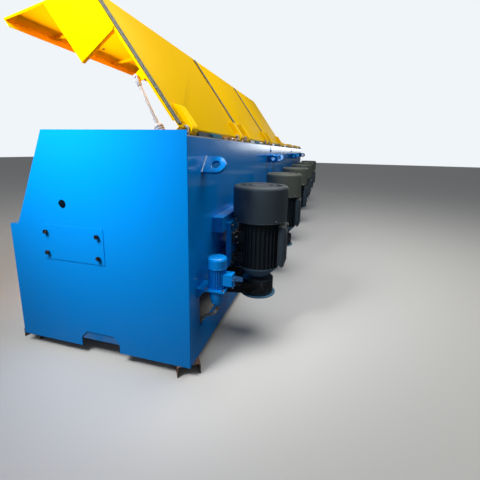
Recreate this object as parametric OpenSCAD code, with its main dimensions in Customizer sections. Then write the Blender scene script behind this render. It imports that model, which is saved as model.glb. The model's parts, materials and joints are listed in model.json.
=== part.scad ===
// A straight-line wire drawing machine: three welded frame sections with two bays each.
// Every bay has a drawing block on the deck, a foot-mounted motor with V-belts behind the rear
// wall, and a hinged hood on struts. X runs along the line, Y from the motors to the operator.

/* [Line] */
// Frame sections that stand end to end, each with two bays
sections = 3; // [1:1:4]
// Length of one bay
bay_pitch = 1400; // [1360:10:1600]
// Hoods that stand raised, counted from the near end
raised_hoods = 3; // [0:1:8]
// Gap between neighbouring frame sections
seam_gap = 4; // [2:0.5:8]

/* [Body] */
// Depth from the rear wall to the front skirt
body_depth = 1400; // [1380:10:1600]
// Height of the rear wall
wall_h = 1500; // [1450:10:1600]
// Height of the deck above the foot of the wall
deck_h = 880; // [860:5:884]
// Thickness of the wall and skirt sheets
sheet_t = 6; // [4:0.5:8]
// Thickness of the end panels
end_t = 6; // [4:0.5:8]
// Height of the end panels above the rear wall
end_rise = 35; // [25:1:45]
// Thickness of the deck plates
deck_t = 20; // [12:1:30]
// Width of the flange along the top of the rear wall
top_flange = 110; // [104:1:130]
// Width of each leg of an end panel
leg_w = 540; // [480:5:600]
// Height of the recess between the legs
recess_h = 120; // [80:5:160]
// Chamfer at the upper corners of the recess
recess_chamfer = 50; // [20:5:70]
// Width of a wall opening for the belts
slot_w = 1070; // [1000:10:1120]
// Height of a wall opening for the belts
slot_h = 224; // [190:2:240]
// Height of a wall opening above the foot of the wall
slot_z = 213; // [205:1:220]

/* [Base] */
// Height of the support channels
foot_h = 80; // [60:5:100]
// Width of the support channels
foot_w = 160; // [140:5:180]
// Length of each support channel
foot_len = 200; // [150:10:300]
// How far a support channel sticks out of the wall
foot_out = 75; // [50:5:80]
// Wall of the support channels
foot_t = 9; // [6:1:12]
// Height of the base rails
rail_h = 120; // [100:5:140]
// Flange width of the base rails
rail_w = 60; // [50:5:80]
// Wall of the base rails
rail_t = 8; // [6:1:12]
// Width of the cross members
cross_w = 100; // [80:5:140]
// Thickness of the bulkheads
bulkhead_t = 10; // [6:1:16]
// Width of the window in a bulkhead
window_w = 700; // [500:10:780]
// Height of the window in a bulkhead
window_h = 470; // [300:10:500]

/* [Hoods] */
// Height of the hinge axis above the rear wall
hinge_rise = 50; // [46:1:60]
// Distance of the hinge axis from the face of the rear wall
hinge_y = 50; // [46:1:56]
// Angle to which a hood opens
open_angle = 54.7; // [45:0.1:58]
// Length of the top panel of a hood
hood_top = 960; // [920:5:990]
// Length of the front flap of a hood
hood_flap = 710; // [600:5:714]
// Angle of the flap below the top panel
flap_angle = 66; // [64:0.5:70]
// Sheet thickness of the hoods
hood_t = 4; // [2.5:0.5:5]
// Bend radius between top panel and flap
bend_r = 40; // [20:2:60]
// Gap between a hood and the inside of an end panel
hood_gap = 6; // [5:0.5:10]
// Depth of the side flanges
side_flange = 30; // [20:1:34]
// Width of the return along the lower edge of the flap
return_w = 35; // [20:1:36]
// Depth of the lip along the rear edge
rear_lip = 25; // [15:1:28]
// Width of a stiffening rib
rib_w = 40; // [25:1:60]
// Depth of a stiffening rib
rib_d = 24; // [15:1:30]
// Distance of a rib from the side of its bay
rib_x = 370; // [330:5:450]
// Width of the rubber strip along the near edge
strip_w = 38; // [25:1:45]
// Thickness of the rubber strip
strip_t = 8; // [4:0.5:12]

/* [Hinges] */
// Distance of a hinge arm's middle from the side of its bay
arm_x = 150; // [140:1:180]
// Thickness of a hinge arm along the line
arm_w = 90; // [60:1:96]
// Half width of a hinge arm's rounded outline
arm_r = 37; // [25:1:38]
// Reach of a hinge arm along its hood
arm_reach = 125; // [90:5:160]
// Radius of the hinge pins
pin_r = 8; // [6:0.5:10]
// Radial clearance on hinge pins
pin_gap = 0.3; // [0.2:0.05:0.5]
// Thickness of the ears that hold a pin
ear_t = 12; // [8:1:16]
// Outer radius of an ear
ear_r = 20; // [14:1:24]
// Gap between an ear and its arm
ear_gap = 5; // [5:0.5:8]
// Thickness of the hinge rail on the wall
hinge_rail_t = 8; // [5:1:8]
// Width of the hinge rail
hinge_rail_w = 96; // [90:1:98]

/* [Struts] */
// Distance of a strut from the side of its bay
strut_x = 100; // [80:1:110]
// Distance of the strut's foot pin from the face of the rear wall
strut_foot_y = 176; // [160:1:190]
// Height of the strut's foot pin below the top of the rear wall
strut_foot_drop = 57; // [50:1:70]
// Distance of the strut's head from the hinge axis, along the closed hood
lug_u = 430; // [400:5:460]
// Depth of the strut's head below the closed hood
lug_w = 93; // [80:1:100]
// Outer radius of the strut tube
tube_r = 12; // [10:0.5:14]
// Length of the strut tube beyond its foot pin
tube_len = 262; // [240:1:270]
// Radius of the strut rod
rod_r = 5; // [4:0.5:7]
// Length of the strut rod below its head
rod_len = 240; // [225:1:250]
// Radial clearance between rod and tube
rod_gap = 0.3; // [0.2:0.05:0.5]
// Thickness of the lugs and brackets that hold the struts
lug_t = 8; // [6:0.5:10]
// Gap between a strut tube and the plate beside it
lug_gap = 6; // [5:0.5:8]

/* [Motors] */
// Distance of the motor axis from the face of the rear wall
motor_y = 295; // [290:1:320]
// Height of the motor's shaft axis above its feet
shaft_h = 180; // [172:1:190]
// Height of the lower end of the finned stator above the foot of the wall
stator_z = 464; // [455:1:480]
// Length of the finned stator
stator_len = 432; // [420:2:450]
// Outer radius over the fins
fin_r = 166; // [160:1:168]
// Radius at the root of the fins
core_r = 148; // [140:1:152]
// Thickness of a fin
fin_t = 5; // [3:0.5:7]
// Number of fins
fin_count = 32; // [24:4:40]
// Clearance between the fan cowl and the motor rails
cowl_gap = 3; // [2:0.5:12]
// Height of the fan cowl
cowl_h = 272; // [240:2:300]
// Sheet thickness of the fan cowl
cowl_t = 3; // [2:0.5:4]
// Corner radius of the fan cowl
cowl_corner = 26; // [15:1:35]
// Length of a motor foot along the shaft
foot_pad_h = 82; // [60:1:100]
// Width over the motor feet
foot_span = 350; // [300:5:380]
// Thickness of a motor foot
foot_pad_t = 20; // [14:1:28]
// Width of the terminal box
box_w = 180; // [140:5:200]
// Height of the terminal box
box_h = 170; // [130:5:200]
// Depth of the terminal box from the fins
box_d = 84; // [60:2:100]
// Thickness of the motor's mounting plate
plate_t = 36; // [30:1:40]
// Width of the mounting plate
plate_w = 400; // [380:5:460]
// Height of the mounting plate
plate_h = 340; // [330:2:344]
// Height of the mounting plate above the foot of the wall
plate_z = 550; // [540:1:560]
// Length of a motor rail
motor_rail_len = 580; // [500:10:640]
// Height of a motor rail
motor_rail_h = 110; // [80:5:120]
// Height of the upper motor rail above the foot of the wall
upper_rail_z = 836; // [825:1:845]
// Height of the lower motor rail above the foot of the wall
lower_rail_z = 520; // [520:1:540]

/* [Belt drive] */
// Radius of the motor pulley
small_r = 125; // [110:1:135]
// Radius of the driven pulley
large_r = 300; // [280:1:315]
// Height of both pulleys above the foot of the wall
pulley_z = 285; // [280:1:290]
// Width of both pulleys
pulley_h = 125; // [118:1:128]
// Height of plain rim above the uppermost groove
rim_margin = 6; // [4:1:10]
// Distance of the block's spindle from the face of the rear wall
spindle_y = 620; // [600:5:640]
// Number of belts side by side
belt_count = 5; // [3:1:5]
// Spacing of the belts
belt_pitch = 19; // [18:0.5:20]
// Width of a belt
belt_w = 14; // [10:0.5:15]
// Thickness of a belt
belt_t = 10; // [8:0.5:12]
// Clearance of a belt in its groove
belt_gap = 0.3; // [0.2:0.05:0.5]

/* [Drawing blocks] */
// Radius of a drawing block
block_r = 300; // [280:5:310]
// Height of a drawing block
block_h = 340; // [280:5:400]
// Width of the flange around the foot of a block
block_flange = 40; // [25:1:45]
// Gap between a block and the deck
block_gap = 25; // [15:1:35]
// Radius of the spindle housing where it passes the deck
neck_r = 120; // [100:1:130]
// Radius of the hole in the deck around the neck
deck_bore_r = 130; // [131:1:150]
// Radius of the gear housing's flange under the deck
gear_flange_r = 260; // [240:5:280]
// Height of the wire's path above the deck
wire_h = 170; // [160:1:200]

/* [Die boxes] */
// Length of a die box along the line
die_len = 240; // [200:5:260]
// Width of a die box
die_w = 200; // [160:5:220]
// Height of a die box
die_h = 150; // [130:5:170]
// Thickness of a die box's lid
die_t = 10; // [6:1:14]
// Distance of a die box from the start of its bay
die_x = 70; // [60:5:90]
// Radius of the die holder
holder_r = 50; // [40:1:60]
// Radius of the die holder's bore
holder_bore_r = 12; // [8:1:16]
// Radius of the guide sheave
sheave_r = 90; // [70:1:100]
// Distance of the guide sheave from the end of its bay
sheave_x = 190; // [170:5:220]

/* [Fittings] */
// Reach of a lifting lug from the wall
lifting_out = 150; // [120:5:170]
// Height of a lifting lug
lifting_h = 120; // [100:5:140]
// Thickness of a lifting lug
lifting_t = 20; // [14:1:26]
// Radius of the hole in a lifting lug
lifting_hole_r = 32; // [25:1:36]
// Height of the lifting lugs above the foot of the wall
lifting_z = 1310; // [1260:5:1340]
// Distance of a lifting lug from the end of its section
lifting_x = 260; // [240:5:300]
// Thickness of the bolted access covers
cover_t = 4; // [2:0.5:6]
// Radius of the cover knobs
knob_r = 15; // [10:1:20]
// Length of the cover knobs
knob_len = 25; // [15:1:30]
// Distance of the pump from the start of the line
pump_x = 190; // [180:1:200]
// Distance of the pump's axis from the face of the rear wall
pump_y = 120; // [115:1:130]
// Height of the pump's outlet above the foot of the wall
pump_z = 386; // [386:1:400]
// Radius of the pump's fan cowl
pump_r = 67; // [60:1:70]
// Radius of the hose
hose_r = 11; // [8:0.5:12]

/* [Hidden] */
bays = 2 * sections;
line_len = bays * bay_pitch;
section_len = 2 * bay_pitch;
wall_top = foot_h + wall_h;
deck_top = foot_h + deck_h;
rail_top = foot_h + rail_h;
hinge = [hinge_y, wall_top + hinge_rise];
strut_foot = [strut_foot_y, wall_top - strut_foot_drop];
cowl_r = shaft_h + plate_t - cowl_gap;
box_out = motor_y + fin_r + box_d;
mid_y = (body_depth + foot_out - box_out) / 2;
groove_w = belt_w + 2 * belt_gap;
groove_d = belt_t + 1;
$fn = 64;

// Moves the line so that the middle of its footprint on the floor is the origin
module in_part_frame() {
    translate([-line_len / 2, -mid_y, 0]) children();
}

module each_bay() {
    for (k = [0:bays - 1]) translate([k * bay_pitch, 0, 0]) children();
}

module each_section() {
    for (k = [0:sections - 1]) translate([k * section_len, 0, 0]) children();
}

// Draws its children at the start of one bay, and mirrored at the end of it
module both_sides(k) {
    translate([(k - 1) * bay_pitch, 0, 0]) children();
    translate([k * bay_pitch, 0, 0]) mirror([1, 0, 0]) children();
}

// Extrudes an outline drawn in Y and Z along the line
module along_x(x, length) {
    translate([x, 0, 0]) rotate([90, 0, 90]) linear_extrude(length) children();
}

module x_cylinder(x, length, r) {
    translate([x, 0, 0]) rotate([0, 90, 0]) cylinder(h = length, r = r);
}

// Outlines of folded sheets: a path of points, its rounded corners and its parallel path
function unit(v) = v / norm(v);
function turned(p, a) = [p[0] * cos(a) - p[1] * sin(a), p[0] * sin(a) + p[1] * cos(a)];
function reversed(list) = [for (i = [len(list) - 1:-1:0]) list[i]];
function corner_arc(p, q, s, r, n) =
    let (a = unit(p - q), b = unit(s - q), half = acos(a * b) / 2,
         c = q + unit(a + b) * r / sin(half),
         v = q + a * r / tan(half) - c, w = q + b * r / tan(half) - c,
         start = atan2(v[1], v[0]),
         sweep = (atan2(w[1], w[0]) - start + 540) % 360 - 180)
    [for (i = [0:n]) c + r * [cos(start + sweep * i / n), sin(start + sweep * i / n)]];
function rounded(path, radii, n = 5) =
    [path[0],
     for (i = [1:len(path) - 2]) each corner_arc(path[i - 1], path[i], path[i + 1], radii[i - 1], n),
     path[len(path) - 1]];
function right_of(a, b) = let (d = unit(b - a)) [d[1], -d[0]];
function inner_path(path, t) =
    let (last = len(path) - 1)
    [for (i = [0:last])
        let (n0 = right_of(path[max(i - 1, 0)], path[max(i, 1)]),
             n1 = right_of(path[min(i, last - 1)], path[min(i + 1, last)]),
             m = unit(n0 + n1))
        path[i] + m * t / (m * n0)];

// Hood outline in the closed position, measured from the hinge axis
hood_bend = [hood_top, 0];
hood_edge = hood_bend + hood_flap * [cos(flap_angle), -sin(flap_angle)];
hood_return = hood_edge - return_w * [sin(flap_angle), cos(flap_angle)];
hood_path = [[0, -rear_lip], [0, 0], hood_bend, hood_edge, hood_return];
hood_round = rounded(hood_path, [hood_t + 2, bend_r, hood_t + 4]);
hood_x0 = end_t + hood_gap;
hood_len = bay_pitch - 2 * hood_x0;

module hood_profile(depth) {
    polygon(concat(hood_round, reversed(inner_path(hood_path, depth))));
}

module hood_sheet() {
    polygon(concat(hood_round, reversed(inner_path(hood_round, hood_t))));
}

function hood_angle(k) = k <= raised_hoods ? open_angle : 0;
function strut_head(a) = hinge + turned([lug_u, -lug_w], a);
function strut_reach(a) = norm(strut_head(a) - strut_foot);
function strut_tilt(a) = let (v = strut_head(a) - strut_foot) atan2(v[1], v[0]);
lug_x = strut_x + tube_r + lug_gap;

module hinge_arm() {
    translate([arm_x - arm_w / 2, 0, 0]) rotate([90, 0, 90]) linear_extrude(arm_w) {
        circle(arm_r);
        translate([0, -arm_r]) square([arm_reach, 2 * arm_r]);
        translate([arm_reach, 0]) circle(arm_r);
    }
}

module strut_lug() {
    along_x(lug_x, lug_t) {
        translate([lug_u, -lug_w]) circle(24);
        polygon([[lug_u - 24, -lug_w], [lug_u + 24, -lug_w],
                 [lug_u + 45, -hood_t / 2], [lug_u - 45, -hood_t / 2]]);
    }
}

// The ears of a hinge need room beside the arm, so the sheet is cut back there
module ear_notch() {
    notch_w = arm_w + 2 * (ear_gap + ear_t + 8);
    translate([arm_x - notch_w / 2, -1, -side_flange - rear_lip])
        cube([notch_w, ear_r + 25, side_flange + rear_lip + 20]);
}

module hood(k) {
    color("gold") in_part_frame() translate([0, hinge[0], hinge[1]]) rotate([hood_angle(k), 0, 0])
    difference() {
        union() {
            difference() {
                translate([(k - 1) * bay_pitch, 0, 0]) union() {
                    along_x(hood_x0, hood_len) hood_sheet();
                    along_x(hood_x0, hood_t) hood_profile(side_flange);
                    along_x(bay_pitch - hood_x0 - hood_t, hood_t) hood_profile(side_flange);
                    for (x = [rib_x, bay_pitch - rib_x])
                        along_x(x - rib_w / 2, rib_w) hood_profile(rib_d);
                }
                both_sides(k) ear_notch();
            }
            both_sides(k) hinge_arm();
            both_sides(k) strut_lug();
        }
        both_sides(k) x_cylinder(arm_x - arm_w / 2 - 1, arm_w + 2, pin_r + pin_gap);
    }
}

module hood_strip(k) {
    strip_start = 2 * arm_r;
    strip_end = hood_top - bend_r;
    color("dimgray") in_part_frame() translate([0, hinge[0], hinge[1]]) rotate([hood_angle(k), 0, 0])
    translate([(k - 1) * bay_pitch + hood_x0 + 12, strip_start, 0]) difference() {
        cube([strip_w, strip_end - strip_start, strip_t]);
        for (i = [1:3]) translate([i * strip_w / 4 - 2, -1, strip_t / 2])
            cube([4, strip_end - strip_start + 2, strip_t]);
    }
}

module strut_place(k, a) {
    both_sides(k) translate([strut_x, strut_foot[0], strut_foot[1]]) rotate([strut_tilt(a), 0, 0])
        children();
}

module strut_tubes(k) {
    eye_w = 20;
    color("silver") in_part_frame() strut_place(k, hood_angle(k)) difference() {
        union() {
            x_cylinder(-eye_w / 2, eye_w, 16);
            translate([0, 8, 0]) rotate([-90, 0, 0]) cylinder(h = tube_len - 8, r = tube_r);
        }
        x_cylinder(-eye_w, 2 * eye_w, 6 + pin_gap);
        translate([0, 40, 0]) rotate([-90, 0, 0]) cylinder(h = tube_len, r = rod_r + rod_gap);
    }
}

module strut_rods(k) {
    reach = strut_reach(hood_angle(k));
    eye_w = 14;
    stud_len = lug_x - strut_x - 1;
    color("gainsboro") in_part_frame() strut_place(k, hood_angle(k)) translate([0, reach, 0]) {
        x_cylinder(-eye_w / 2, eye_w, 12);
        x_cylinder(0, stud_len, 6);
        translate([0, -rod_len, 0]) rotate([-90, 0, 0]) cylinder(h = rod_len, r = rod_r);
    }
}

module hinge_rails() {
    ear_x = arm_x - arm_w / 2 - ear_gap - ear_t;
    pin_len = arm_w + 2 * (ear_gap + ear_t);
    color("dimgray") in_part_frame() {
        each_section() translate([end_t, 4, wall_top])
            cube([section_len - 2 * end_t, hinge_rail_w, hinge_rail_t]);
        for (k = [1:bays]) both_sides(k) {
            for (x = [ear_x, ear_x + pin_len - ear_t]) along_x(x, ear_t) {
                translate(hinge) circle(ear_r);
                translate([hinge[0] - ear_r, wall_top]) square([2 * ear_r, hinge_rise]);
            }
            translate([0, hinge[0], hinge[1]]) x_cylinder(ear_x, pin_len, pin_r);
        }
    }
}

module strut_brackets() {
    color("silver") in_part_frame() for (k = [1:bays]) both_sides(k) {
        along_x(lug_x, lug_t) {
            translate(strut_foot) circle(20);
            polygon([[sheet_t, strut_foot[1] - 80], strut_foot + [0, -20],
                     strut_foot + [0, 20], [sheet_t, strut_foot[1] + 35]]);
        }
        translate([0, strut_foot[0], strut_foot[1]])
            x_cylinder(strut_x - tube_r, lug_x - strut_x + tube_r, 6);
    }
}

module rear_panels() {
    color("dodgerblue") in_part_frame() each_section() difference() {
        along_x(end_t, section_len - 2 * end_t) {
            translate([0, foot_h]) square([sheet_t, wall_h]);
            translate([0, wall_top - sheet_t]) square([top_flange, sheet_t]);
        }
        for (k = [0, 1]) translate([(k + 0.5) * bay_pitch - slot_w / 2, -1, foot_h + slot_z])
            cube([slot_w, sheet_t + 2, slot_h]);
    }
}

module front_panels() {
    skirt_h = deck_h - deck_t;
    color("dodgerblue") in_part_frame() each_section()
        translate([end_t, body_depth - sheet_t, foot_h])
            cube([section_len - 2 * end_t, sheet_t, skirt_h]);
}

module end_panel_outline() {
    top = wall_top + end_rise;
    slope_run = (top - deck_top) / tan(flap_angle);
    shoulder = hinge[0] + hood_top + 25;
    difference() {
        polygon([[0, foot_h], [0, top], [shoulder, top], [shoulder + slope_run, deck_top],
                 [body_depth, deck_top], [body_depth, foot_h]]);
        polygon([[leg_w, foot_h - 1], [leg_w, foot_h + recess_h - recess_chamfer],
                 [leg_w + recess_chamfer, foot_h + recess_h],
                 [body_depth - leg_w - recess_chamfer, foot_h + recess_h],
                 [body_depth - leg_w, foot_h + recess_h - recess_chamfer],
                 [body_depth - leg_w, foot_h - 1]]);
        translate([spindle_y + block_r, deck_top + wire_h]) circle(30);
    }
}

module end_panel_near() {
    color("deepskyblue") in_part_frame() along_x(0, end_t) end_panel_outline();
}

module end_panel_far() {
    color("deepskyblue") in_part_frame() along_x(line_len - end_t, end_t) end_panel_outline();
}

module deck_plates() {
    color("steelblue") in_part_frame() each_section() difference() {
        translate([end_t, sheet_t, deck_top - deck_t])
            cube([section_len - 2 * end_t, body_depth - 2 * sheet_t, deck_t]);
        for (k = [0, 1]) translate([(k + 0.5) * bay_pitch, spindle_y, deck_top - deck_t - 1])
            cylinder(h = deck_t + 2, r = deck_bore_r);
    }
}

module base_rail_profile() {
    square([rail_t, rail_h]);
    square([rail_w, rail_t]);
    translate([0, rail_h - rail_t]) square([rail_w, rail_t]);
}

module base_rails() {
    color("dodgerblue") in_part_frame() {
        along_x(end_t, line_len - 2 * end_t) translate([sheet_t, foot_h]) base_rail_profile();
        along_x(end_t, line_len - 2 * end_t) translate([body_depth - sheet_t, foot_h])
            mirror([1, 0]) base_rail_profile();
    }
}

module cross_members() {
    inner = sheet_t + rail_w;
    color("dodgerblue") in_part_frame() {
        for (k = [1:bays - 1]) translate([k * bay_pitch - cross_w / 2, inner, foot_h])
            cube([cross_w, body_depth - 2 * inner, rail_h]);
        for (x = [end_t, line_len - end_t - cross_w]) translate([x, inner, foot_h + recess_h / 2])
            cube([cross_w, body_depth - 2 * inner, rail_h - recess_h / 2]);
    }
}

module bulkheads() {
    bulkhead_h = deck_top - deck_t - rail_top;
    color("dodgerblue") in_part_frame() for (k = [1:bays - 1])
        translate([k * bay_pitch - bulkhead_t / 2, sheet_t, rail_top]) difference() {
            cube([bulkhead_t, body_depth - 2 * sheet_t, bulkhead_h]);
            translate([-1, (body_depth - 2 * sheet_t - window_w) / 2, (bulkhead_h - window_h) / 2])
                cube([bulkhead_t + 2, window_w, window_h]);
        }
}

module support_channel() {
    difference() {
        cube([foot_len, foot_w, foot_h]);
        translate([-1, foot_t, -1]) cube([foot_len + 2, foot_w - 2 * foot_t, foot_h - foot_t + 1]);
    }
}

module support_channels() {
    inset = 50;
    color("saddlebrown") in_part_frame()
        for (x = [inset, for (k = [1:sections - 1]) k * section_len - foot_len / 2,
                  line_len - inset - foot_len])
            for (y = [-foot_out, body_depth + foot_out - foot_w]) translate([x, y, 0])
                support_channel();
}

module lifting_lugs() {
    color("dodgerblue") in_part_frame() each_section()
        for (x = [lifting_x, section_len - lifting_x])
            along_x(x - lifting_t / 2, lifting_t) translate([0, foot_h + lifting_z]) difference() {
                union() {
                    translate([-lifting_out + lifting_h / 2, 0]) circle(lifting_h / 2);
                    translate([-lifting_out + lifting_h / 2, -lifting_h / 2])
                        square([lifting_out - lifting_h / 2, lifting_h]);
                }
                translate([-lifting_out + lifting_h / 2 + 8, 0]) circle(lifting_hole_r);
            }
}

// Access covers: one on each end panel and one on the skirt of each bay
end_cover = [[610, 650], [500, 250]];
bay_cover = [[250, 250], [900, 450]];
knob_inset = [40, 50];

module access_covers() {
    color("deepskyblue") in_part_frame() {
        for (x = [-cover_t, line_len]) translate([x, end_cover[0][0], foot_h + end_cover[0][1]])
            cube([cover_t, end_cover[1][0], end_cover[1][1]]);
        each_bay() translate([bay_cover[0][0], body_depth, foot_h + bay_cover[0][1]])
            cube([bay_cover[1][0], cover_t, bay_cover[1][1]]);
    }
}

module knob() {
    cylinder(h = knob_len * 0.4, r = knob_r * 0.6);
    translate([0, 0, knob_len * 0.4]) cylinder(h = knob_len * 0.6, r = knob_r);
}

module knobs_at(cover) {
    for (u = [knob_inset[0], cover[1][0] - knob_inset[0]])
        for (v = [knob_inset[1], cover[1][1] - knob_inset[1]])
            translate([cover[0][0] + u, foot_h + cover[0][1] + v]) children();
}

module cover_knobs() {
    color("black") in_part_frame() {
        translate([-cover_t, 0, 0]) rotate([90, 0, 90]) knobs_at(end_cover)
            rotate([180, 0, 0]) knob();
        translate([line_len + cover_t, 0, 0]) rotate([90, 0, 90]) knobs_at(end_cover) knob();
        each_bay() translate([0, body_depth + cover_t, 0]) rotate([90, 0, 0]) knobs_at(bay_cover)
            rotate([180, 0, 0]) knob();
    }
}

plate_face = motor_y - shaft_h;
rail_out = plate_face - plate_t;

module motor_rails() {
    color("dodgerblue") in_part_frame() each_bay() for (z = [lower_rail_z, upper_rail_z])
        translate([(bay_pitch - motor_rail_len) / 2, -rail_out, foot_h + z])
            cube([motor_rail_len, rail_out, motor_rail_h]);
}

module motor_plates() {
    color("dodgerblue") in_part_frame() each_bay()
        translate([(bay_pitch - plate_w) / 2, -plate_face, foot_h + plate_z])
            cube([plate_w, plate_t, plate_h]);
}

module at_motor(z) {
    each_bay() translate([bay_pitch / 2, -motor_y, foot_h + z]) children();
}

module motor_foot(z) {
    web_t = 22;
    translate([-foot_span / 2, shaft_h - foot_pad_t, z]) cube([foot_span, foot_pad_t, foot_pad_h]);
    for (x = [-foot_span * 0.34, foot_span * 0.34 - web_t])
        translate([x, core_r * 0.5, z]) cube([web_t, shaft_h - core_r * 0.5 - 1, foot_pad_h]);
}

module motor_frames() {
    bell_h = 44;
    top_bell_h = 30;
    shaft_r = 24;
    shaft_top = stator_z - bell_h - pulley_z - pulley_h;
    color("darkslategray") in_part_frame() at_motor(stator_z) {
        linear_extrude(stator_len) {
            circle(core_r);
            for (i = [0:fin_count - 1]) rotate(i * 360 / fin_count)
                translate([core_r - fin_t, -fin_t / 2]) square([fin_r - core_r + fin_t, fin_t]);
            translate([-box_w / 3, -fin_r]) square([box_w / 1.5, fin_r - core_r * 0.8]);
        }
        translate([0, 0, -bell_h]) rotate_extrude()
            polygon([[0, 0], [fin_r * 0.5, 0], [fin_r * 0.5, 14], [fin_r * 0.86, 20],
                     [fin_r * 0.96, bell_h], [0, bell_h]]);
        translate([0, 0, stator_len]) intersection() {
            union() {
                cylinder(h = top_bell_h, r = core_r);
                for (a = [45, 135]) rotate(a) translate([-cowl_r, -15, 0])
                    cube([2 * cowl_r, 30, top_bell_h]);
            }
            cylinder(h = top_bell_h, r = cowl_r - cowl_t - 0.3);
        }
        translate([0, 0, -bell_h - shaft_top]) cylinder(h = shaft_top, r = shaft_r);
        motor_foot(106);
        motor_foot(stator_len - foot_pad_h - 8);
    }
}

module motor_cowls() {
    slot_in = 70;
    slot_out = 105;
    ring_out = 170;
    inner = cowl_r - cowl_t;
    color("darkslategray") in_part_frame() at_motor(stator_z + stator_len) difference() {
        rotate_extrude() polygon(concat(
            [[inner, 0], [cowl_r, 0]],
            [for (a = [0:15:90]) [cowl_r - cowl_corner, cowl_h - cowl_corner]
                + cowl_corner * [cos(a), sin(a)]],
            [[0, cowl_h], [0, cowl_h - cowl_t]],
            [for (a = [90:-15:0]) [cowl_r - cowl_corner, cowl_h - cowl_corner]
                + (cowl_corner - cowl_t) * [cos(a), sin(a)]]));
        for (i = [0:5]) rotate(i * 60) {
            translate([0, 0, cowl_h - cowl_t - 1]) rotate_extrude(angle = 50)
                translate([slot_in, 0]) square([slot_out - slot_in, cowl_t + 2]);
            translate([0, 0, cowl_h - cowl_t - 1]) rotate_extrude(angle = 54)
                translate([slot_out + 15, 0]) square([ring_out - slot_out - 15, cowl_t + 2]);
        }
    }
}

module terminal_boxes() {
    lid_t = 8;
    lid_edge = 5;
    gland_r = 16;
    color("dimgray") in_part_frame() at_motor(stator_z + stator_len / 2 - box_h / 2) {
        translate([-box_w / 2, -fin_r - box_d + lid_t, 0]) cube([box_w, box_d - lid_t, box_h]);
        translate([-box_w / 2 - lid_edge, -fin_r - box_d, -lid_edge])
            cube([box_w + 2 * lid_edge, lid_t, box_h + 2 * lid_edge]);
        for (x = [-box_w / 4, box_w / 4]) translate([x, -fin_r - box_d / 2, -24])
            cylinder(h = 25, r = gland_r);
    }
}

// Grooved pulley, drawn from its lower face
module grooved_pulley(r, bore_depth) {
    rotate_extrude() difference() {
        square([r, pulley_h]);
        for (i = [0:belt_count - 1])
            translate([r - groove_d, pulley_h - rim_margin - groove_w - i * belt_pitch])
                square([groove_d + 1, groove_w]);
        if (bore_depth > 0) translate([-1, -1]) square([r * 0.3 + 1, bore_depth + 1]);
    }
}

module motor_pulleys() {
    color("dodgerblue") in_part_frame() at_motor(pulley_z) grooved_pulley(small_r, 20);
}

module driven_pulleys() {
    color("dimgray") in_part_frame() each_bay()
        translate([bay_pitch / 2, spindle_y, foot_h + pulley_z]) grooved_pulley(large_r, 40);
}

// Outline of a loop around two wheels, the first at the origin and the second at d along Y;
// its straight runs cut the wheels by a hair, so that they cross them cleanly
module loop_outline(r1, r2, d) {
    lap = 0.05;
    a = asin((r2 - r1) / d);
    x1 = (r1 - lap) * cos(a);
    x2 = (r2 - lap) * cos(a);
    y1 = -(r1 - lap) * sin(a);
    y2 = d - (r2 - lap) * sin(a);
    circle(r1);
    translate([0, d]) circle(r2);
    polygon([[x1, y1], [x2, y2], [-x2, y2], [-x1, y1]]);
}

module drive_belts() {
    centre_d = motor_y + spindle_y;
    inner_1 = small_r - groove_d + belt_gap;
    inner_2 = large_r - groove_d + belt_gap;
    color("black") in_part_frame() at_motor(0)
        for (i = [0:belt_count - 1])
            translate([0, 0, pulley_z + pulley_h - rim_margin - groove_w + belt_gap - i * belt_pitch])
                linear_extrude(belt_w) difference() {
                    loop_outline(inner_1 + belt_t, inner_2 + belt_t, centre_d);
                    loop_outline(inner_1, inner_2, centre_d);
                }
}

module gear_housings() {
    top = deck_top - deck_t;
    bottom = foot_h + pulley_z + pulley_h;
    color("dodgerblue") in_part_frame() each_bay() translate([bay_pitch / 2, spindle_y, 0])
        rotate_extrude() polygon([
            [0, bottom], [60, bottom], [60, bottom + 30], [170, bottom + 50], [210, bottom + 120],
            [210, top - 60], [gear_flange_r, top - 30], [gear_flange_r, top], [neck_r, top],
            [neck_r, deck_top + block_gap], [0, deck_top + block_gap]]);
}

module drawing_blocks() {
    base = deck_top + block_gap;
    rim = block_r + block_flange;
    color("lightslategray") in_part_frame() each_bay()
        translate([bay_pitch / 2, spindle_y, base]) rotate_extrude() polygon(concat(
            [[0, 0], [rim - 12, 0], [rim, 12], [rim, 26]],
            [for (a = [270:-15:180]) [block_r + 22, 48] + 22 * [cos(a), sin(a)]],
            [[block_r - 6, block_h - 40], [block_r + 4, block_h - 26], [block_r + 4, block_h - 8],
             [block_r - 8, block_h], [block_r - 50, block_h], [block_r - 60, block_h - 30],
             [110, block_h - 30], [100, block_h - 4], [0, block_h - 4]]));
}

module die_boxes() {
    post_h = wire_h - die_h / 2 - 5;
    holder_len = 50;
    wire_y = spindle_y + block_r;
    color("slategray") in_part_frame() each_bay() translate([die_x, wire_y, deck_top]) {
        difference() {
            union() {
                translate([20, -die_w * 0.3, 0]) cube([die_len - 40, die_w * 0.6, post_h]);
                translate([0, -die_w / 2, post_h]) cube([die_len, die_w, die_h - die_t]);
                translate([-6, -die_w / 2 - 6, post_h + die_h - die_t])
                    cube([die_len + 12, die_w + 12, die_t]);
                translate([0, 0, wire_h]) x_cylinder(die_len - die_t, holder_len + die_t, holder_r);
            }
            translate([0, 0, wire_h]) x_cylinder(-10, die_len + holder_len + 20, holder_bore_r);
        }
    }
}

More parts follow.
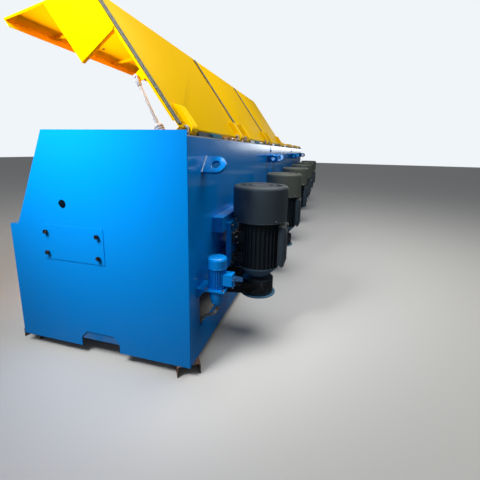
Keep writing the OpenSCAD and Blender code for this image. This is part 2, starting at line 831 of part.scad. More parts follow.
module guide_sheaves() {
    groove = 12;
    sheave_h = 40;
    post_r = 28;
    sheave_y = spindle_y + block_r - sheave_r;
    color("slategray") in_part_frame() each_bay()
        translate([bay_pitch - sheave_x, sheave_y, deck_top]) rotate_extrude() polygon([
            [0, 0], [70, 0], [70, 14], [post_r, 24], [post_r, wire_h - sheave_h / 2],
            [sheave_r, wire_h - sheave_h / 2], [sheave_r, wire_h - sheave_h / 2 + 8],
            [sheave_r - groove, wire_h], [sheave_r, wire_h + sheave_h / 2 - 8],
            [sheave_r, wire_h + sheave_h / 2], [post_r, wire_h + sheave_h / 2],
            [post_r, wire_h + sheave_h / 2 + 14], [0, wire_h + sheave_h / 2 + 14]]);
}

module coolant_pump() {
    flange_z = foot_h + pump_z + 122;
    fins = 24;
    color("deepskyblue") in_part_frame() translate([pump_x, -pump_y, 0]) {
        translate([0, 0, foot_h + pump_z]) rotate_extrude()
            polygon([[0, 0], [24, 0], [24, 16], [42, 24], [50, 60], [58, 122], [0, 122]]);
        translate([-72, -72, flange_z]) cube([144, pump_y + 72, 12]);
        translate([0, 0, flange_z + 12]) linear_extrude(140) {
            circle(52);
            for (i = [0:fins - 1]) rotate(i * 360 / fins) translate([0, -1.5]) square([61, 3]);
        }
        translate([0, 0, flange_z + 152]) rotate_extrude() polygon([
            [0, 0], [pump_r, 0], [pump_r, 60], [pump_r - 6, 70], [pump_r - 18, 75], [0, 75]]);
        translate([-36, -112, flange_z + 40]) cube([72, 66, 78]);
        for (x = [-72, 64]) along_x(x, 8)
            polygon([[pump_y - 60, flange_z], [pump_y, flange_z], [pump_y, flange_z - 60]]);
    }
}

// Route of the hose, from the pump's outlet down through the wall opening to the base rail
hose_route = [[pump_x, -pump_y, foot_h + pump_z], [pump_x, -pump_y, foot_h + pump_z - 30],
              [196, -105, 400], [206, -70, 362], [215, -25, 335], [221, 15, 305],
              [224, 36, 265], [224, 40, 230], [224, 40, rail_top]];
hose_sides = 10;
function hose_tangent(i) =
    unit(hose_route[min(i + 1, len(hose_route) - 1)] - hose_route[max(i - 1, 0)]);
function hose_ring(i) =
    let (end = i == 0 || i == len(hose_route) - 1,
         t = end ? [0, 0, -1] : hose_tangent(i),
         a = unit(cross(t, [1, 0, 0])), b = cross(t, a))
    [for (j = [0:hose_sides - 1]) let (w = j * 360 / hose_sides)
        hose_route[i] + hose_r * (cos(w) * a + sin(w) * b)];

module coolant_hose() {
    rings = len(hose_route);
    points = [for (i = [0:rings - 1]) each hose_ring(i)];
    sides = [for (i = [0:rings - 2]) for (j = [0:hose_sides - 1])
        let (a = i * hose_sides + j, b = i * hose_sides + (j + 1) % hose_sides)
        [b, a, a + hose_sides, b + hose_sides]];
    color("silver") in_part_frame() polyhedron(points, concat(
        [[for (j = [0:hose_sides - 1]) j]], sides,
        [[for (j = [hose_sides - 1:-1:0]) (rings - 1) * hose_sides + j]]));
}

end_panel_near();
end_panel_far();
rear_panels();
front_panels();
deck_plates();
base_rails();
cross_members();
bulkheads();
support_channels();
hinge_rails();
strut_brackets();
lifting_lugs();
access_covers();
cover_knobs();
motor_rails();
motor_plates();
motor_frames();
motor_cowls();
terminal_boxes();
motor_pulleys();
drive_belts();
driven_pulleys();
gear_housings();
drawing_blocks();
die_boxes();
guide_sheaves();
coolant_pump();
coolant_hose();
for (k = [1:bays]) hood(k);
for (k = [1:bays]) hood_strip(k);
for (k = [1:bays]) strut_tubes(k);
for (k = [1:bays]) strut_rods(k);
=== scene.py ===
"""Looks of a straight-line wire drawing machine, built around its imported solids."""

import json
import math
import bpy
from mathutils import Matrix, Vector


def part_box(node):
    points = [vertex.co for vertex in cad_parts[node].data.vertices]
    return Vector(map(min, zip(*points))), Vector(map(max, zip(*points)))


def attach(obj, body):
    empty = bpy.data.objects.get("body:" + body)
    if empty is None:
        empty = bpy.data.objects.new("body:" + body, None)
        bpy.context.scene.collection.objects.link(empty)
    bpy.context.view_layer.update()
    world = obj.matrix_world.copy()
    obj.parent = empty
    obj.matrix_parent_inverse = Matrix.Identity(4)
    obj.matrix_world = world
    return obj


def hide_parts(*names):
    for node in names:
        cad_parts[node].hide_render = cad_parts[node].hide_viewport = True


bl_info = {
    "name": "Wire drawing machine",
    "version": (1, 0, 0),
    "blender": (4, 5, 0),
    "location": "3D Viewport > Sidebar > Wire line",
    "description": "Finishes, fixings and trim of a wire drawing machine",
    "category": "Object",
}

import bmesh
import bpy
from bpy.props import FloatProperty, FloatVectorProperty, IntProperty, PointerProperty
from mathutils import Matrix, Vector

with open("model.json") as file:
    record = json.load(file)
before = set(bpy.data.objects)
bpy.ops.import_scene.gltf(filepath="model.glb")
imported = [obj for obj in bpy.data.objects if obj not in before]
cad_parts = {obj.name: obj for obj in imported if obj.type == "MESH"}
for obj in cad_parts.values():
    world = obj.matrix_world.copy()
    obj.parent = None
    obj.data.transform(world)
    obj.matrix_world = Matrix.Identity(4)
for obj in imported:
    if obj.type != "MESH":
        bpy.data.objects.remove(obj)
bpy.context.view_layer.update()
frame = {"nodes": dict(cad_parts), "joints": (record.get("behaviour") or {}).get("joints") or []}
NODES = frame["nodes"]

# Places on the machine, read from the solids
BAYS = sum(name.startswith("strut_rods_") for name in NODES)
LINE_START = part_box("end_panel_near")[0].x
LINE_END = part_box("end_panel_far")[1].x
PITCH = (LINE_END - LINE_START) / BAYS
BAY_STARTS = [LINE_START + PITCH * k for k in range(BAYS)]
WALL_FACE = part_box("rear_panels")[0].y
JOINTS = {joint["name"]: joint for joint in frame["joints"]}
HINGE = Vector(JOINTS["hood_1_hinge"]["pos_m"])
STRUT_FOOT = Vector(JOINTS["strut_tubes_1_pivot"]["pos_m"])

# Motors and the hinge rail, in metres
MOTOR_R = 0.166
STATOR_LEN = 0.371
RAIL_T = 0.008
RAIL_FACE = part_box("hinge_rails")[0].z + RAIL_T

# Struts and hinge arms, from the ends of a bay, and the eye at a strut's head
STRUT_X = 0.100
ARM_X = 0.150
HEAD_EYE_R = 0.012

# A hood: its gap to the bay's end, its sheet from the hinge to the bend, and the flap beyond
HOOD_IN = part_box("hood_1")[0].x - LINE_START
HOOD_TOP = 0.960
HOOD_T = 0.004
FLAP_LEN = 0.650
FLAP_TILT = math.radians(66)

# Where a hood's cheeks begin, out from the hinge, and how deep they hang
CHEEK_START = 0.665
CHEEK_DEPTH = 0.300

# Lifting eyes, and the turned channel under the near corner
LUG_LEAN = math.radians(41)
LUG_T = 0.020
LUG_R = 0.065
LUG_RISE = 0.019
FOOT_TURN = math.radians(33)

# Both sides of a middle, and the direction out from the rear wall
SIDES = (-1, 1)
AWAY = (0, -1, 0)

# A normal's share of an axis that counts as facing it, and metres that count as touching
FLAT = 0.9
NEAR = 1e-4

# Head across flats, head height, washer radius and washer thickness of the panels' bolts
PANEL_BOLT = (0.013, 0.007, 0.011, 0.002)

# Soft lamps: name, place, aim, size in metres, power in watts, spread in degrees and colour
LAMPS = (
    ("end_lamp", (-5.5, 0.6, 2.9), (-4.2, 0.35, 1.6), 1.0, 25, 72, (1.0, 1.0, 1.0)),
    ("roof_lamp", (-2.5, -1.7, 6.0), (-2.0, 0.0, 1.6), 4.0, 255, 180, (1.0, 0.98, 0.94)),
    ("low_lamp", (-3.9, 2.6, 0.9), (-3.8, 0.4, 2.35), 1.0, 62, 70, (1.0, 0.66, 0.42)),
)

# Route of the coolant hose from the near corner of the wall at the floor, in millimetres
HOSE_R = 0.011
HOSE_ROUTE = (
    (190, -120, 466), (190, -120, 451), (190, -118, 436), (191, -114, 422), (192, -107, 409),
    (194, -97, 398), (197, -84, 389), (201, -69, 381), (205, -53, 373), (209, -37, 364),
    (213, -21, 353), (217, -7, 340), (220, 6, 325), (222, 17, 308), (223, 26, 289),
    (224, 33, 269), (224, 37, 248), (224, 39, 227), (224, 40, 206), (224, 40, 200))


class Sizes(bpy.types.PropertyGroup):
    """Sizes of the fixings and trim, and the camera's place."""

    bolt_across: FloatProperty(name="Bolt head", description="Width across flats of a foot bolt",
                               default=0.030, unit="LENGTH")
    rail_bolt_across: FloatProperty(name="Rail bolt head", default=0.019, unit="LENGTH",
                                    description="Width across flats of a hinge rail bolt")
    screw_r: FloatProperty(name="Screw head", description="Radius of a cowl screw's head",
                           default=0.008, unit="LENGTH")
    grille_wire: FloatProperty(name="Grille wire", description="Radius of the wires over a fan",
                               default=0.0022, unit="LENGTH")
    bead_r: FloatProperty(name="Weld bead", description="Radius of a weld bead",
                          default=0.006, unit="LENGTH")
    knob_lobes: IntProperty(name="Knob lobes", description="Lobes of a cover knob", default=7)
    lens: FloatProperty(name="Lens", description="Focal length on a 36 mm sensor", default=22.785)
    eye_x: FloatProperty(name="Camera before the end panel", default=1.621, unit="LENGTH",
                         description="Distance of the camera from the near end panel")
    eye_y: FloatProperty(name="Camera beside the wall", default=0.761, unit="LENGTH",
                         description="Distance of the camera from the face of the rear wall")
    eye_z: FloatProperty(name="Camera height", description="Height of the camera over the floor",
                         default=1.507, unit="LENGTH")
    yaw: FloatProperty(name="Camera yaw", description="Turn of the view from the line's direction",
                       default=math.radians(15.21), subtype="ANGLE")
    pitch: FloatProperty(name="Camera pitch", description="Tilt of the view below the horizon",
                         default=math.radians(11.82), subtype="ANGLE")
    roll: FloatProperty(name="Camera roll", description="Turn of the view about its own axis",
                        default=math.radians(1.19), subtype="ANGLE")


class Colours(bpy.types.PropertyGroup):
    """Colours of the finishes."""

    blue: FloatVectorProperty(name="Body blue", description="Enamel of the body", subtype="COLOR",
                              default=(0.0, 0.26, 0.80))
    yellow: FloatVectorProperty(name="Hood yellow", description="Enamel of the hoods",
                                subtype="COLOR", default=(0.88, 0.53, 0.0))
    motor: FloatVectorProperty(name="Motor grey", description="Enamel of the motors",
                               subtype="COLOR", default=(0.034, 0.048, 0.060))


def sizes():
    return bpy.context.scene.wire_line_sizes


def colours():
    return bpy.context.scene.wire_line_colours


class Signal:
    """A node's output that takes Python's operators."""

    def __init__(self, graph, socket):
        self.graph = graph
        self.socket = socket

    def math(self, operation, *others):
        return self.graph.node("ShaderNodeMath", {"operation": operation}, self, *others)

    def clamped(self):
        """The value, kept from 0 to 1."""
        return self.graph.node("ShaderNodeClamp", {}, self)

    def axis(self, name):
        """X, Y or Z of a vector."""
        return self.graph.node("ShaderNodeSeparateXYZ", {}, self, out=name)

    def ranged(self, low, high, start=0.0, end=1.0, curve="LINEAR"):
        """Maps low..high to start..end, and no further."""
        return self.graph.node("ShaderNodeMapRange", {"interpolation_type": curve}, self,
                               From_Min=low, From_Max=high, To_Min=start, To_Max=end)

    def __add__(self, other):
        return self.math("ADD", other)

    def __mul__(self, other):
        return self.math("MULTIPLY", other)

    def __sub__(self, other):
        return self.math("SUBTRACT", other)

    def __rsub__(self, other):
        return self.graph.node("ShaderNodeMath", {"operation": "SUBTRACT"}, other, self)

    __radd__ = __add__
    __rmul__ = __mul__


class Graph:
    """The shader nodes of a material or of the world."""

    def __init__(self, tree):
        self.tree = tree

    def node(self, kind, settings, *values, out=0, **named):
        """A new node's output; its sockets are given by order or by name."""
        node = self.tree.nodes.new(kind)
        for key, value in settings.items():
            setattr(node, key, value)
        for key, value in [*enumerate(values), *named.items()]:
            self.feed(node.inputs[key if isinstance(key, int) else key.replace("_", " ")], value)
        return Signal(self, node.outputs[out])

    def feed(self, socket, value):
        if isinstance(value, Signal):
            self.tree.links.new(value.socket, socket)
        else:
            socket.default_value = value


class Finish(Graph):
    """One procedural material."""

    def __init__(self, name, **shader):
        self.material = bpy.data.materials.new(name)
        self.material.use_nodes = True
        super().__init__(self.material.node_tree)
        self.shader = self.tree.nodes["Principled BSDF"]
        self.place = self.node("ShaderNodeTexCoord", {}, out="Object")
        for socket, value in shader.items():
            self.shader.inputs[socket.replace("_", " ")].default_value = value

    def noise(self, scale, detail=3.0, stretch=(1, 1, 1), rough=0.5):
        """Noise through the piece, with about scale spots to a metre."""
        place = self.node("ShaderNodeMapping", {}, Vector=self.place, Scale=stretch)
        return self.node("ShaderNodeTexNoise", {}, Vector=place, Scale=scale, Detail=detail,
                         Roughness=rough, out="Fac")

    def spread(self, signal, low, high):
        """0 below low, 1 above high."""
        return signal.ranged(low, high, curve="SMOOTHSTEP")

    def mix(self, factor, first, second):
        """Mixes two colours; their sockets share their names with other kinds of value."""
        factor_in, first_in, second_in, colour_out = 0, 6, 7, 2
        node = self.tree.nodes.new("ShaderNodeMix")
        node.data_type = "RGBA"
        self.feed(node.inputs[factor_in], factor)
        self.feed(node.inputs[first_in], opaque(first))
        self.feed(node.inputs[second_in], opaque(second))
        return Signal(self, node.outputs[colour_out])

    def facing_up(self):
        """1 where the surface lies flat, 0 where it stands upright."""
        return self.node("ShaderNodeNewGeometry", {}, out="Normal").axis("Z")

    def bump(self, height, distance):
        self.feed(self.shader.inputs["Normal"],
                  self.node("ShaderNodeBump", {}, Height=height, Distance=distance,
                            Strength=1.0, out="Normal"))

    def coat(self, colour, roughness):
        self.feed(self.shader.inputs["Base Color"], opaque(colour))
        self.feed(self.shader.inputs["Roughness"], roughness)


DUST = (0.30, 0.27, 0.23)


def opaque(colour):
    """A link as it is, or a colour's three numbers with its alpha."""
    return colour if isinstance(colour, Signal) else (*colour, 1.0)


def shade(colour, factor):
    """A colour made darker or brighter."""
    return tuple(channel * factor for channel in colour)


def enamel(name, colour, dust=0.5, gloss=0.2, cloud=0.25, shine=0.5, coat=0.35):
    """Sprayed gloss enamel with clouding, faint runs, scuffs and dust near the floor."""
    finish = Finish(name, Coat_Weight=coat, Coat_Roughness=0.06, Specular_IOR_Level=shine)
    clouds = finish.noise(1.4, 4.0)
    runs = finish.noise(1.6, 2.0, (3, 3, 0.5))
    scuffs = finish.spread(finish.noise(24.0, 6.0, rough=0.7), 0.66, 0.74)
    height = finish.place.axis("Z")
    settled = finish.spread(0.55 - height + clouds * 0.3, 0.15, 0.75) * dust
    on_top = finish.spread(finish.facing_up(), 0.6, 1.0) * dust * 0.5
    grime = (settled + on_top) * finish.spread(finish.noise(7.0, 5.0), 0.3, 0.8)
    paint = finish.mix(clouds * cloud + runs * cloud * 0.6, colour, shade(colour, 0.62))
    paint = finish.mix(scuffs * 0.25, paint, shade(colour, 1.35))
    paint = finish.mix(grime.clamped(), paint, DUST)
    finish.coat(paint, (gloss + runs * 0.12 + grime * 0.5 + scuffs * 0.1).clamped())
    finish.bump(finish.noise(320.0, 2.0) * 0.4 + finish.noise(5.0, 2.0), 0.0006)
    return finish.material


def satin(name, colour, dust=0.35, rough=0.42, speckle=0.35, far_painted_light=None):
    """Satin enamel over a casting, dusty on what faces up; when a far colour is given, the paint
    turns to it beyond X = -2.6 as painted light from the far end.
    """
    finish = Finish(name, Specular_IOR_Level=0.4)
    grain = finish.noise(130.0, 4.0)
    patches = finish.noise(6.0, 4.0)
    on_top = finish.spread(finish.facing_up(), 0.3, 1.0) * finish.spread(patches, 0.25, 0.7) * dust
    specks = finish.spread(finish.noise(60.0, 6.0, rough=0.75), 0.68, 0.76) * speckle
    paint = finish.mix(patches * 0.5, colour, shade(colour, 1.6))
    # Painted light: past X = -2.6 the paint turns lighter, standing in for light that falls from the
    # far end of the line.
    if far_painted_light:
        paint = finish.mix(finish.spread(finish.place.axis("X"), -3.0, -2.6), paint, far_painted_light)
    paint = finish.mix((on_top + specks).clamped(), paint, DUST)
    finish.coat(paint, (rough + patches * 0.2 + on_top * 0.4).clamped())
    finish.bump(grain, 0.0005)
    return finish.material


def bright_metal(name, colour, rough, grain=90.0):
    """Bare or plated steel with fine marks."""
    finish = Finish(name, Metallic=1.0)
    marks = finish.noise(grain, 4.0)
    stains = finish.noise(14.0, 4.0)
    metal = finish.mix(stains * 0.6, colour, shade(colour, 0.6))
    finish.coat(metal, (rough + marks * 0.18 + stains * 0.12).clamped())
    finish.bump(marks, 0.0002)
    return finish.material


def rusty(name):
    """Rolled steel with mill scale and rust."""
    scale, brown, orange = (0.115, 0.110, 0.120), (0.22, 0.13, 0.09), (0.30, 0.14, 0.07)
    finish = Finish(name, Specular_IOR_Level=0.3)
    blotches = finish.noise(9.0, 6.0, rough=0.65)
    pits = finish.noise(140.0, 5.0, rough=0.7)
    rust = finish.mix(finish.spread(blotches, 0.38, 0.62), scale, brown)
    rust = finish.mix(finish.spread(pits, 0.55, 0.7) * 0.6, rust, orange)
    finish.coat(rust, 0.65 + pits * 0.3)
    finish.bump(blotches * 0.5 + pits, 0.0012)
    return finish.material


def rubber(name, colour, grain=160.0):
    """Black or grey rubber and moulded plastic, a little worn and dusty."""
    finish = Finish(name, Specular_IOR_Level=0.35)
    wear = finish.noise(30.0, 5.0)
    dusty = finish.mix(finish.spread(wear, 0.45, 0.75) * 0.5, colour, shade(DUST, 0.6))
    finish.coat(dusty, 0.55 + wear * 0.3)
    finish.bump(finish.noise(grain, 3.0), 0.0005)
    return finish.material


def turned(name, colour, rough):
    """Machined drum: fine rings round a vertical axis."""
    finish = Finish(name, Metallic=1.0)
    rings = finish.noise(60.0, 3.0, (0.02, 0.02, 8.0))
    stains = finish.noise(5.0, 5.0)
    metal = finish.mix(stains * 0.5, colour, shade(colour, 0.55))
    finish.coat(metal, (rough + rings * 0.2).clamped())
    finish.bump(rings, 0.0004)
    return finish.material


def braided(name):
    """Wire braid, crossing both ways round the hose on its own UV map."""
    bright, dark, wires = (0.80, 0.78, 0.74), (0.34, 0.28, 0.20), 8
    finish = Finish(name, Metallic=0.25)
    wound = finish.node("ShaderNodeUVMap", {"uv_map": "UVMap"})
    around, along = wound.axis("X"), wound.axis("Y")
    one = ((around + along) * (2 * math.pi * wires)).math("SINE")
    other = ((around - along) * (2 * math.pi * wires)).math("SINE")
    weave = one.math("MAXIMUM", other)
    metal = finish.mix(finish.spread(one, -0.3, 0.3), bright, dark)
    finish.coat(metal, 0.35 - weave * 0.08)
    finish.bump(weave, 0.0012)
    return finish.material


MATERIALS = {}


def make_materials():
    blue, yellow, motor = (tuple(c) for c in (colours().blue, colours().yellow, colours().motor))
    MATERIALS.update(
        body_blue=enamel("body_enamel", blue, dust=0.05, gloss=0.10, cloud=0.08, shine=0.35),
        rail_blue=enamel("rail_enamel", blue, dust=1.1, gloss=0.25, cloud=0.1),
        dark_blue=enamel("pulley_enamel", (0.006, 0.030, 0.055), dust=0.3, gloss=0.3, cloud=0.3),
        inner_blue=enamel("inner_enamel", shade(blue, 0.8), dust=0.5, gloss=0.35),
        hood_yellow=enamel("hood_enamel", yellow, dust=0.06, gloss=0.36, cloud=0.10, shine=0.04,
                           coat=0.0),
        motor_grey=satin("motor_enamel", shade(motor, 0.7), dust=0.8),
        # Painted light: the cowls past the first turn a lighter green-grey, as if lit from the far
        # end.
        cowl_grey=satin("cowl_enamel_far_painted_light", shade(motor, 1.25), dust=0.12, far_painted_light=(0.10, 0.115, 0.10)),
        # Painted light: the bells' colour is brightened well above the motor grey to make up for the
        # shadow they sit in.
        bell_grey=satin("bell_enamel_painted_light", (0.08, 0.15, 0.22), dust=0.1),
        pale_steel=satin("rail_steel", (0.42, 0.40, 0.38), dust=0.4),
        teal=satin("switch_enamel", (0.03, 0.20, 0.30), dust=0.1),
        box_grey=satin("box_enamel", shade(motor, 1.3), rough=0.5),
        # Painted highlight: the pale blue of the pulley rims stands for the light on their lower
        # edge.
        rim_blue=satin("rim_enamel_painted_highlight", (0.08, 0.24, 0.40), dust=0.15),
        dark_steel=bright_metal("oiled_steel", (0.16, 0.14, 0.13), 0.45),
        brass=bright_metal("hose_brass", (0.60, 0.45, 0.20), 0.3),
        zinc=bright_metal("zinc_plate", (0.62, 0.62, 0.60), 0.28),
        # Weld beads: pale silver-blue metal, partly bare weld and partly a painted highlight where
        # blue paint would shine.
        weld=bright_metal("weld_steel", (0.45, 0.60, 0.75), 0.3),
        brown_steel=bright_metal("tarnished_steel", (0.30, 0.22, 0.17), 0.5),
        silver=satin("strut_silver", (0.27, 0.30, 0.35), dust=0.0, rough=0.22, speckle=0.0),
        chrome=bright_metal("strut_chrome", (0.80, 0.80, 0.82), 0.12, 40.0),
        rust=rusty("channel_rust"),
        belt=rubber("belt_rubber", (0.012, 0.012, 0.013)),
        strip=rubber("strip_rubber", (0.018, 0.019, 0.017), 220.0),
        # Painted highlight: the strip's ridges are pale grey to stand for the light along its ribs.
        strip_ridge=rubber("strip_ridge_rubber", (0.24, 0.26, 0.23), 220.0),
        plastic=rubber("knob_plastic", (0.010, 0.010, 0.011), 90.0),
        block=turned("block_steel", (0.55, 0.56, 0.58), 0.22),
        braid=braided("hose_braid"),
    )


def in_bays(stem):
    """The names of a solid that each bay has."""
    return [f"{stem}_{k + 1}" for k in range(BAYS)]


NODE_FINISHES = {
    "inner_blue": ["deck_plates", "base_rails", "cross_members", "bulkheads", "gear_housings"],
    "body_blue": ["end_panel_near", "end_panel_far", "rear_panels", "front_panels", "access_covers",
                  "lifting_lugs", "motor_plates", "coolant_pump"],
    "rail_blue": ["motor_rails"],
    "dark_blue": ["motor_pulleys"],
    "motor_grey": ["motor_frames"],
    "cowl_grey": ["motor_cowls"],
    "box_grey": ["terminal_boxes", "die_boxes"],
    "dark_steel": ["driven_pulleys"],
    "pale_steel": ["hinge_rails"],
    "rust": ["support_channels"],
    "belt": ["drive_belts"],
    "block": ["drawing_blocks", "guide_sheaves"],
    "chrome": ["strut_brackets", *in_bays("strut_tubes"), *in_bays("strut_rods")],
    "hood_yellow": in_bays("hood"),
    "strip": in_bays("hood_strip"),
    "plastic": ["cover_knobs"],
    "braid": ["coolant_hose"],
}


# Modelling helpers
def clear_selection():
    if bpy.context.object and bpy.context.object.mode != "OBJECT":
        to_object_mode()
    bpy.ops.object.select_all(action="DESELECT")


def to_object_mode():
    bpy.ops.object.mode_set(mode="OBJECT")


def pick(*pieces):
    """Selects these pieces alone and makes the first one active."""
    clear_selection()
    for piece in pieces:
        piece.select_set(True)
    bpy.context.view_layer.objects.active = pieces[0]


def select_parts(piece, kind, test):
    """Enters edit mode with only the faces or edges that pass the test selected."""
    pick(piece)
    bpy.ops.object.mode_set(mode="EDIT")
    bpy.ops.mesh.select_mode(type=kind)
    bpy.ops.mesh.select_all(action="DESELECT")
    mesh = bmesh.from_edit_mesh(piece.data)
    for part in mesh.faces if kind == "FACE" else mesh.edges:
        part.select_set(test(part))
    bmesh.update_edit_mesh(piece.data)


def select_faces(piece, test):
    """Selects the faces whose normal passes the test."""
    select_parts(piece, "FACE", lambda face: test(face.normal))


def select_edges(piece, test):
    """Selects the edges whose two ends pass the test."""
    select_parts(piece, "EDGE", lambda edge: test(edge.verts[0].co, edge.verts[1].co))


def settle(piece):
    """Applies a piece's place, so that it is in its mesh."""
    pick(piece)
    bpy.ops.object.transform_apply(location=True, rotation=True, scale=True)
    return piece


def smooth(piece, angle=35):
    """Shades a piece smooth, but for edges sharper than the angle in degrees."""
    pick(piece)
    bpy.ops.object.shade_smooth_by_angle(angle=math.radians(angle))
    return piece


def joined(pieces):
    """Several pieces as one mesh, with the first one's name."""
    pick(*pieces)
    bpy.ops.object.join()
    return bpy.context.object


def modified(piece, kind, **settings):
    """Adds a modifier to a piece and applies it."""
    pick(piece)
    bpy.ops.object.modifier_add(type=kind)
    modifier = piece.modifiers[-1]
    for name, value in settings.items():
        setattr(modifier, name, value)
    bpy.ops.object.modifier_apply(modifier=modifier.name)
    return piece


def bevelled(piece, width, segments=2, angle=40):
    """Bevels the sharp edges of a piece."""
    return modified(piece, "BEVEL", width=width, segments=segments,
                    angle_limit=math.radians(angle))


def thickened(piece, thickness):
    """Gives a sheet its thickness, inwards."""
    return modified(piece, "SOLIDIFY", thickness=thickness, offset=-1)


def discard(*models):
    """Deletes models whose copies are made."""
    for model in models:
        bpy.data.objects.remove(model)


def combined(piece, other, operation):
    """Adds another piece to a piece, or cuts it out, and deletes it."""
    modified(piece, "BOOLEAN", operation=operation, object=other)
    discard(other)
    return piece


def moved(piece, place):
    """Moves a piece's mesh to a place."""
    piece.data.transform(place)
    return piece


def dressed(piece, name, finish, body="frame"):
    """Names a finished piece, gives it its material and rides it on its body."""
    piece.name = name
    piece.data.name = name
    piece.data.materials.clear()
    piece.data.materials.append(MATERIALS[finish])
    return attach(piece, body)


def arrayed(model, places, keep=False):
    """One joined mesh of a model's copies, each at its place; the model goes, unless kept."""
    mesh = bmesh.new()
    for place in places:
        start = len(mesh.verts)
        mesh.from_mesh(model.data)
        mesh.verts.ensure_lookup_table()
        bmesh.ops.transform(mesh, matrix=place, verts=mesh.verts[start:])
    data = bpy.data.meshes.new("copies")
    mesh.to_mesh(data)
    mesh.free()
    if not keep:
        discard(model)
    piece = bpy.data.objects.new("copies", data)
    bpy.context.scene.collection.objects.link(piece)
    return piece


def repeated(model, places, name, finish, body="frame", keep=False):
    """A model's copies as one finished piece."""
    return dressed(arrayed(model, places, keep), name, finish, body)


# Places, as matrices
def shift(x, y, z):
    return Matrix.Translation((x, y, z))


def rotation(angle, axis):
    """A turn about X, Y or Z, in radians."""
    return Matrix.Rotation(angle, 4, axis)


def at(x, y, z, facing=(0, 0, 1)):
    """A place whose local Z points along facing."""
    turn = Vector(facing).to_track_quat("Z", "Y").to_matrix().to_4x4()
    return shift(x, y, z) @ turn


def over(box, z):
    """A place at a height over the middle of a box."""
    low, high = box
    return at((low.x + high.x) / 2, (low.y + high.y) / 2, z)


def evenly(start, end, count):
    """Numbers from start to end, both among them, at even steps."""
    return [start + (end - start) * i / (count - 1) for i in range(count)]


def islands(name):
    """Boxes of the separate bodies of a solid, as pairs of corners, along the line."""
    mesh = bmesh.new()
    mesh.from_mesh(NODES[name].data)
    bmesh.ops.remove_doubles(mesh, verts=mesh.verts, dist=1e-5)
    left = set(mesh.verts)
    boxes = []
    while left:
        found = [left.pop()]
        for vert in found:
            for edge in vert.link_edges:
                other = edge.other_vert(vert)
                if other in left:
                    left.discard(other)
                    found.append(other)
        boxes.append(tuple(Vector([side(vert.co[axis] for vert in found) for axis in range(3)])
                           for side in (min, max)))
    mesh.free()
    return sorted(boxes, key=lambda box: (round(box[0].x, 2), box[0].y, box[0].z))


def lifting_places():
    """The lifting lugs' boxes, each with the angle at which its eye leans."""
    return [(box, LUG_LEAN if i % 2 == 0 else -LUG_LEAN)
            for i, box in enumerate(islands("lifting_lugs"))]


def bay_ends(inset):
    """X of a thing at both ends of a bay, from the bay's start."""
    return inset, PITCH - inset


def on_hood(k):
    """The place of hood k's closed outline: X from its bay's start, Y out from the hinge, Z up."""
    opened = -math.radians(min(JOINTS[f"hood_{k + 1}_hinge"]["range_deg"]))
    return shift(BAY_STARTS[k], HINGE.y, HINGE.z) @ rotation(opened, "X")


# Shapes that several pieces use
def cylinder(radius, depth, vertices=24, z=0.0):
    """A cylinder standing on z, with its place in its mesh."""
    clear_selection()
    bpy.ops.mesh.primitive_cylinder_add(vertices=vertices, radius=radius, depth=depth,
                                        location=(0, 0, z + depth / 2))
    return settle(bpy.context.object)


def crosswise(radius, width, y=0.0, z=0.0, vertices=32):
    """A cylinder along the line, centred on X = 0."""
    clear_selection()
    bpy.ops.mesh.primitive_cylinder_add(vertices=vertices, radius=radius, depth=width,
                                        location=(0, y, z), rotation=(0, math.pi / 2, 0))
    return settle(bpy.context.object)


def block(low, high, bevel=0):
    """A box between two corners, with its place in its mesh."""
    clear_selection()
    low, high = Vector(low), Vector(high)
    bpy.ops.mesh.primitive_cube_add(size=1, location=(low + high) / 2, scale=high - low)
    piece = settle(bpy.context.object)
    return bevelled(piece, bevel) if bevel else piece


def turned_shape(profile, vertices=48):
    """A closed shape of revolution, from pairs of radius and height."""
    clear_selection()
    radius, z = profile[0]
    bpy.ops.mesh.primitive_circle_add(vertices=vertices, radius=radius, fill_type="NGON",
                                      location=(0, 0, z))
    piece = settle(bpy.context.object)
    select_faces(piece, lambda normal: True)
    for (radius, z), (next_radius, next_z) in zip(profile, profile[1:]):
        bpy.ops.mesh.extrude_region_move(TRANSFORM_OT_translate={"value": (0, 0, next_z - z)})
        growth = next_radius / radius
        bpy.ops.transform.resize(value=(growth, growth, 1), center_override=(0, 0, next_z))
    bpy.ops.mesh.select_all(action="SELECT")
    bpy.ops.mesh.normals_make_consistent(inside=False)
    to_object_mode()
    return piece


def ring(radius, minor, segments):
    """A round wire in the plane of X and Y."""
    clear_selection()
    bpy.ops.mesh.primitive_torus_add(major_radius=radius, minor_radius=minor,
                                     major_segments=segments, minor_segments=8)
    return smooth(bpy.context.object, 60)


def bead(radius, scale, segments, rings):
    """A flattened drop of weld metal."""
    clear_selection()
    bpy.ops.mesh.primitive_uv_sphere_add(segments=segments, ring_count=rings, radius=radius)
    bpy.ops.transform.resize(value=scale)
    return smooth(settle(bpy.context.object), 60)


def step_in(inset, rise):
    """Insets the selected faces and lifts them."""
    bpy.ops.mesh.inset(thickness=inset)
    bpy.ops.transform.translate(value=(0, 0, rise))


def gland_nut(across, length):
    """A hexagon nut over a domed cap, hanging below z = 0."""
    nut = bevelled(cylinder(across / math.sqrt(3), length * 0.5, 6, -length * 0.55), across * 0.04)
    cap = cylinder(across * 0.40, length * 0.45, 20, -length)
    select_faces(cap, lambda normal: normal.z < -FLAT)
    step_in(across * 0.10, -across * 0.06)
    to_object_mode()
    return joined([nut, cap])


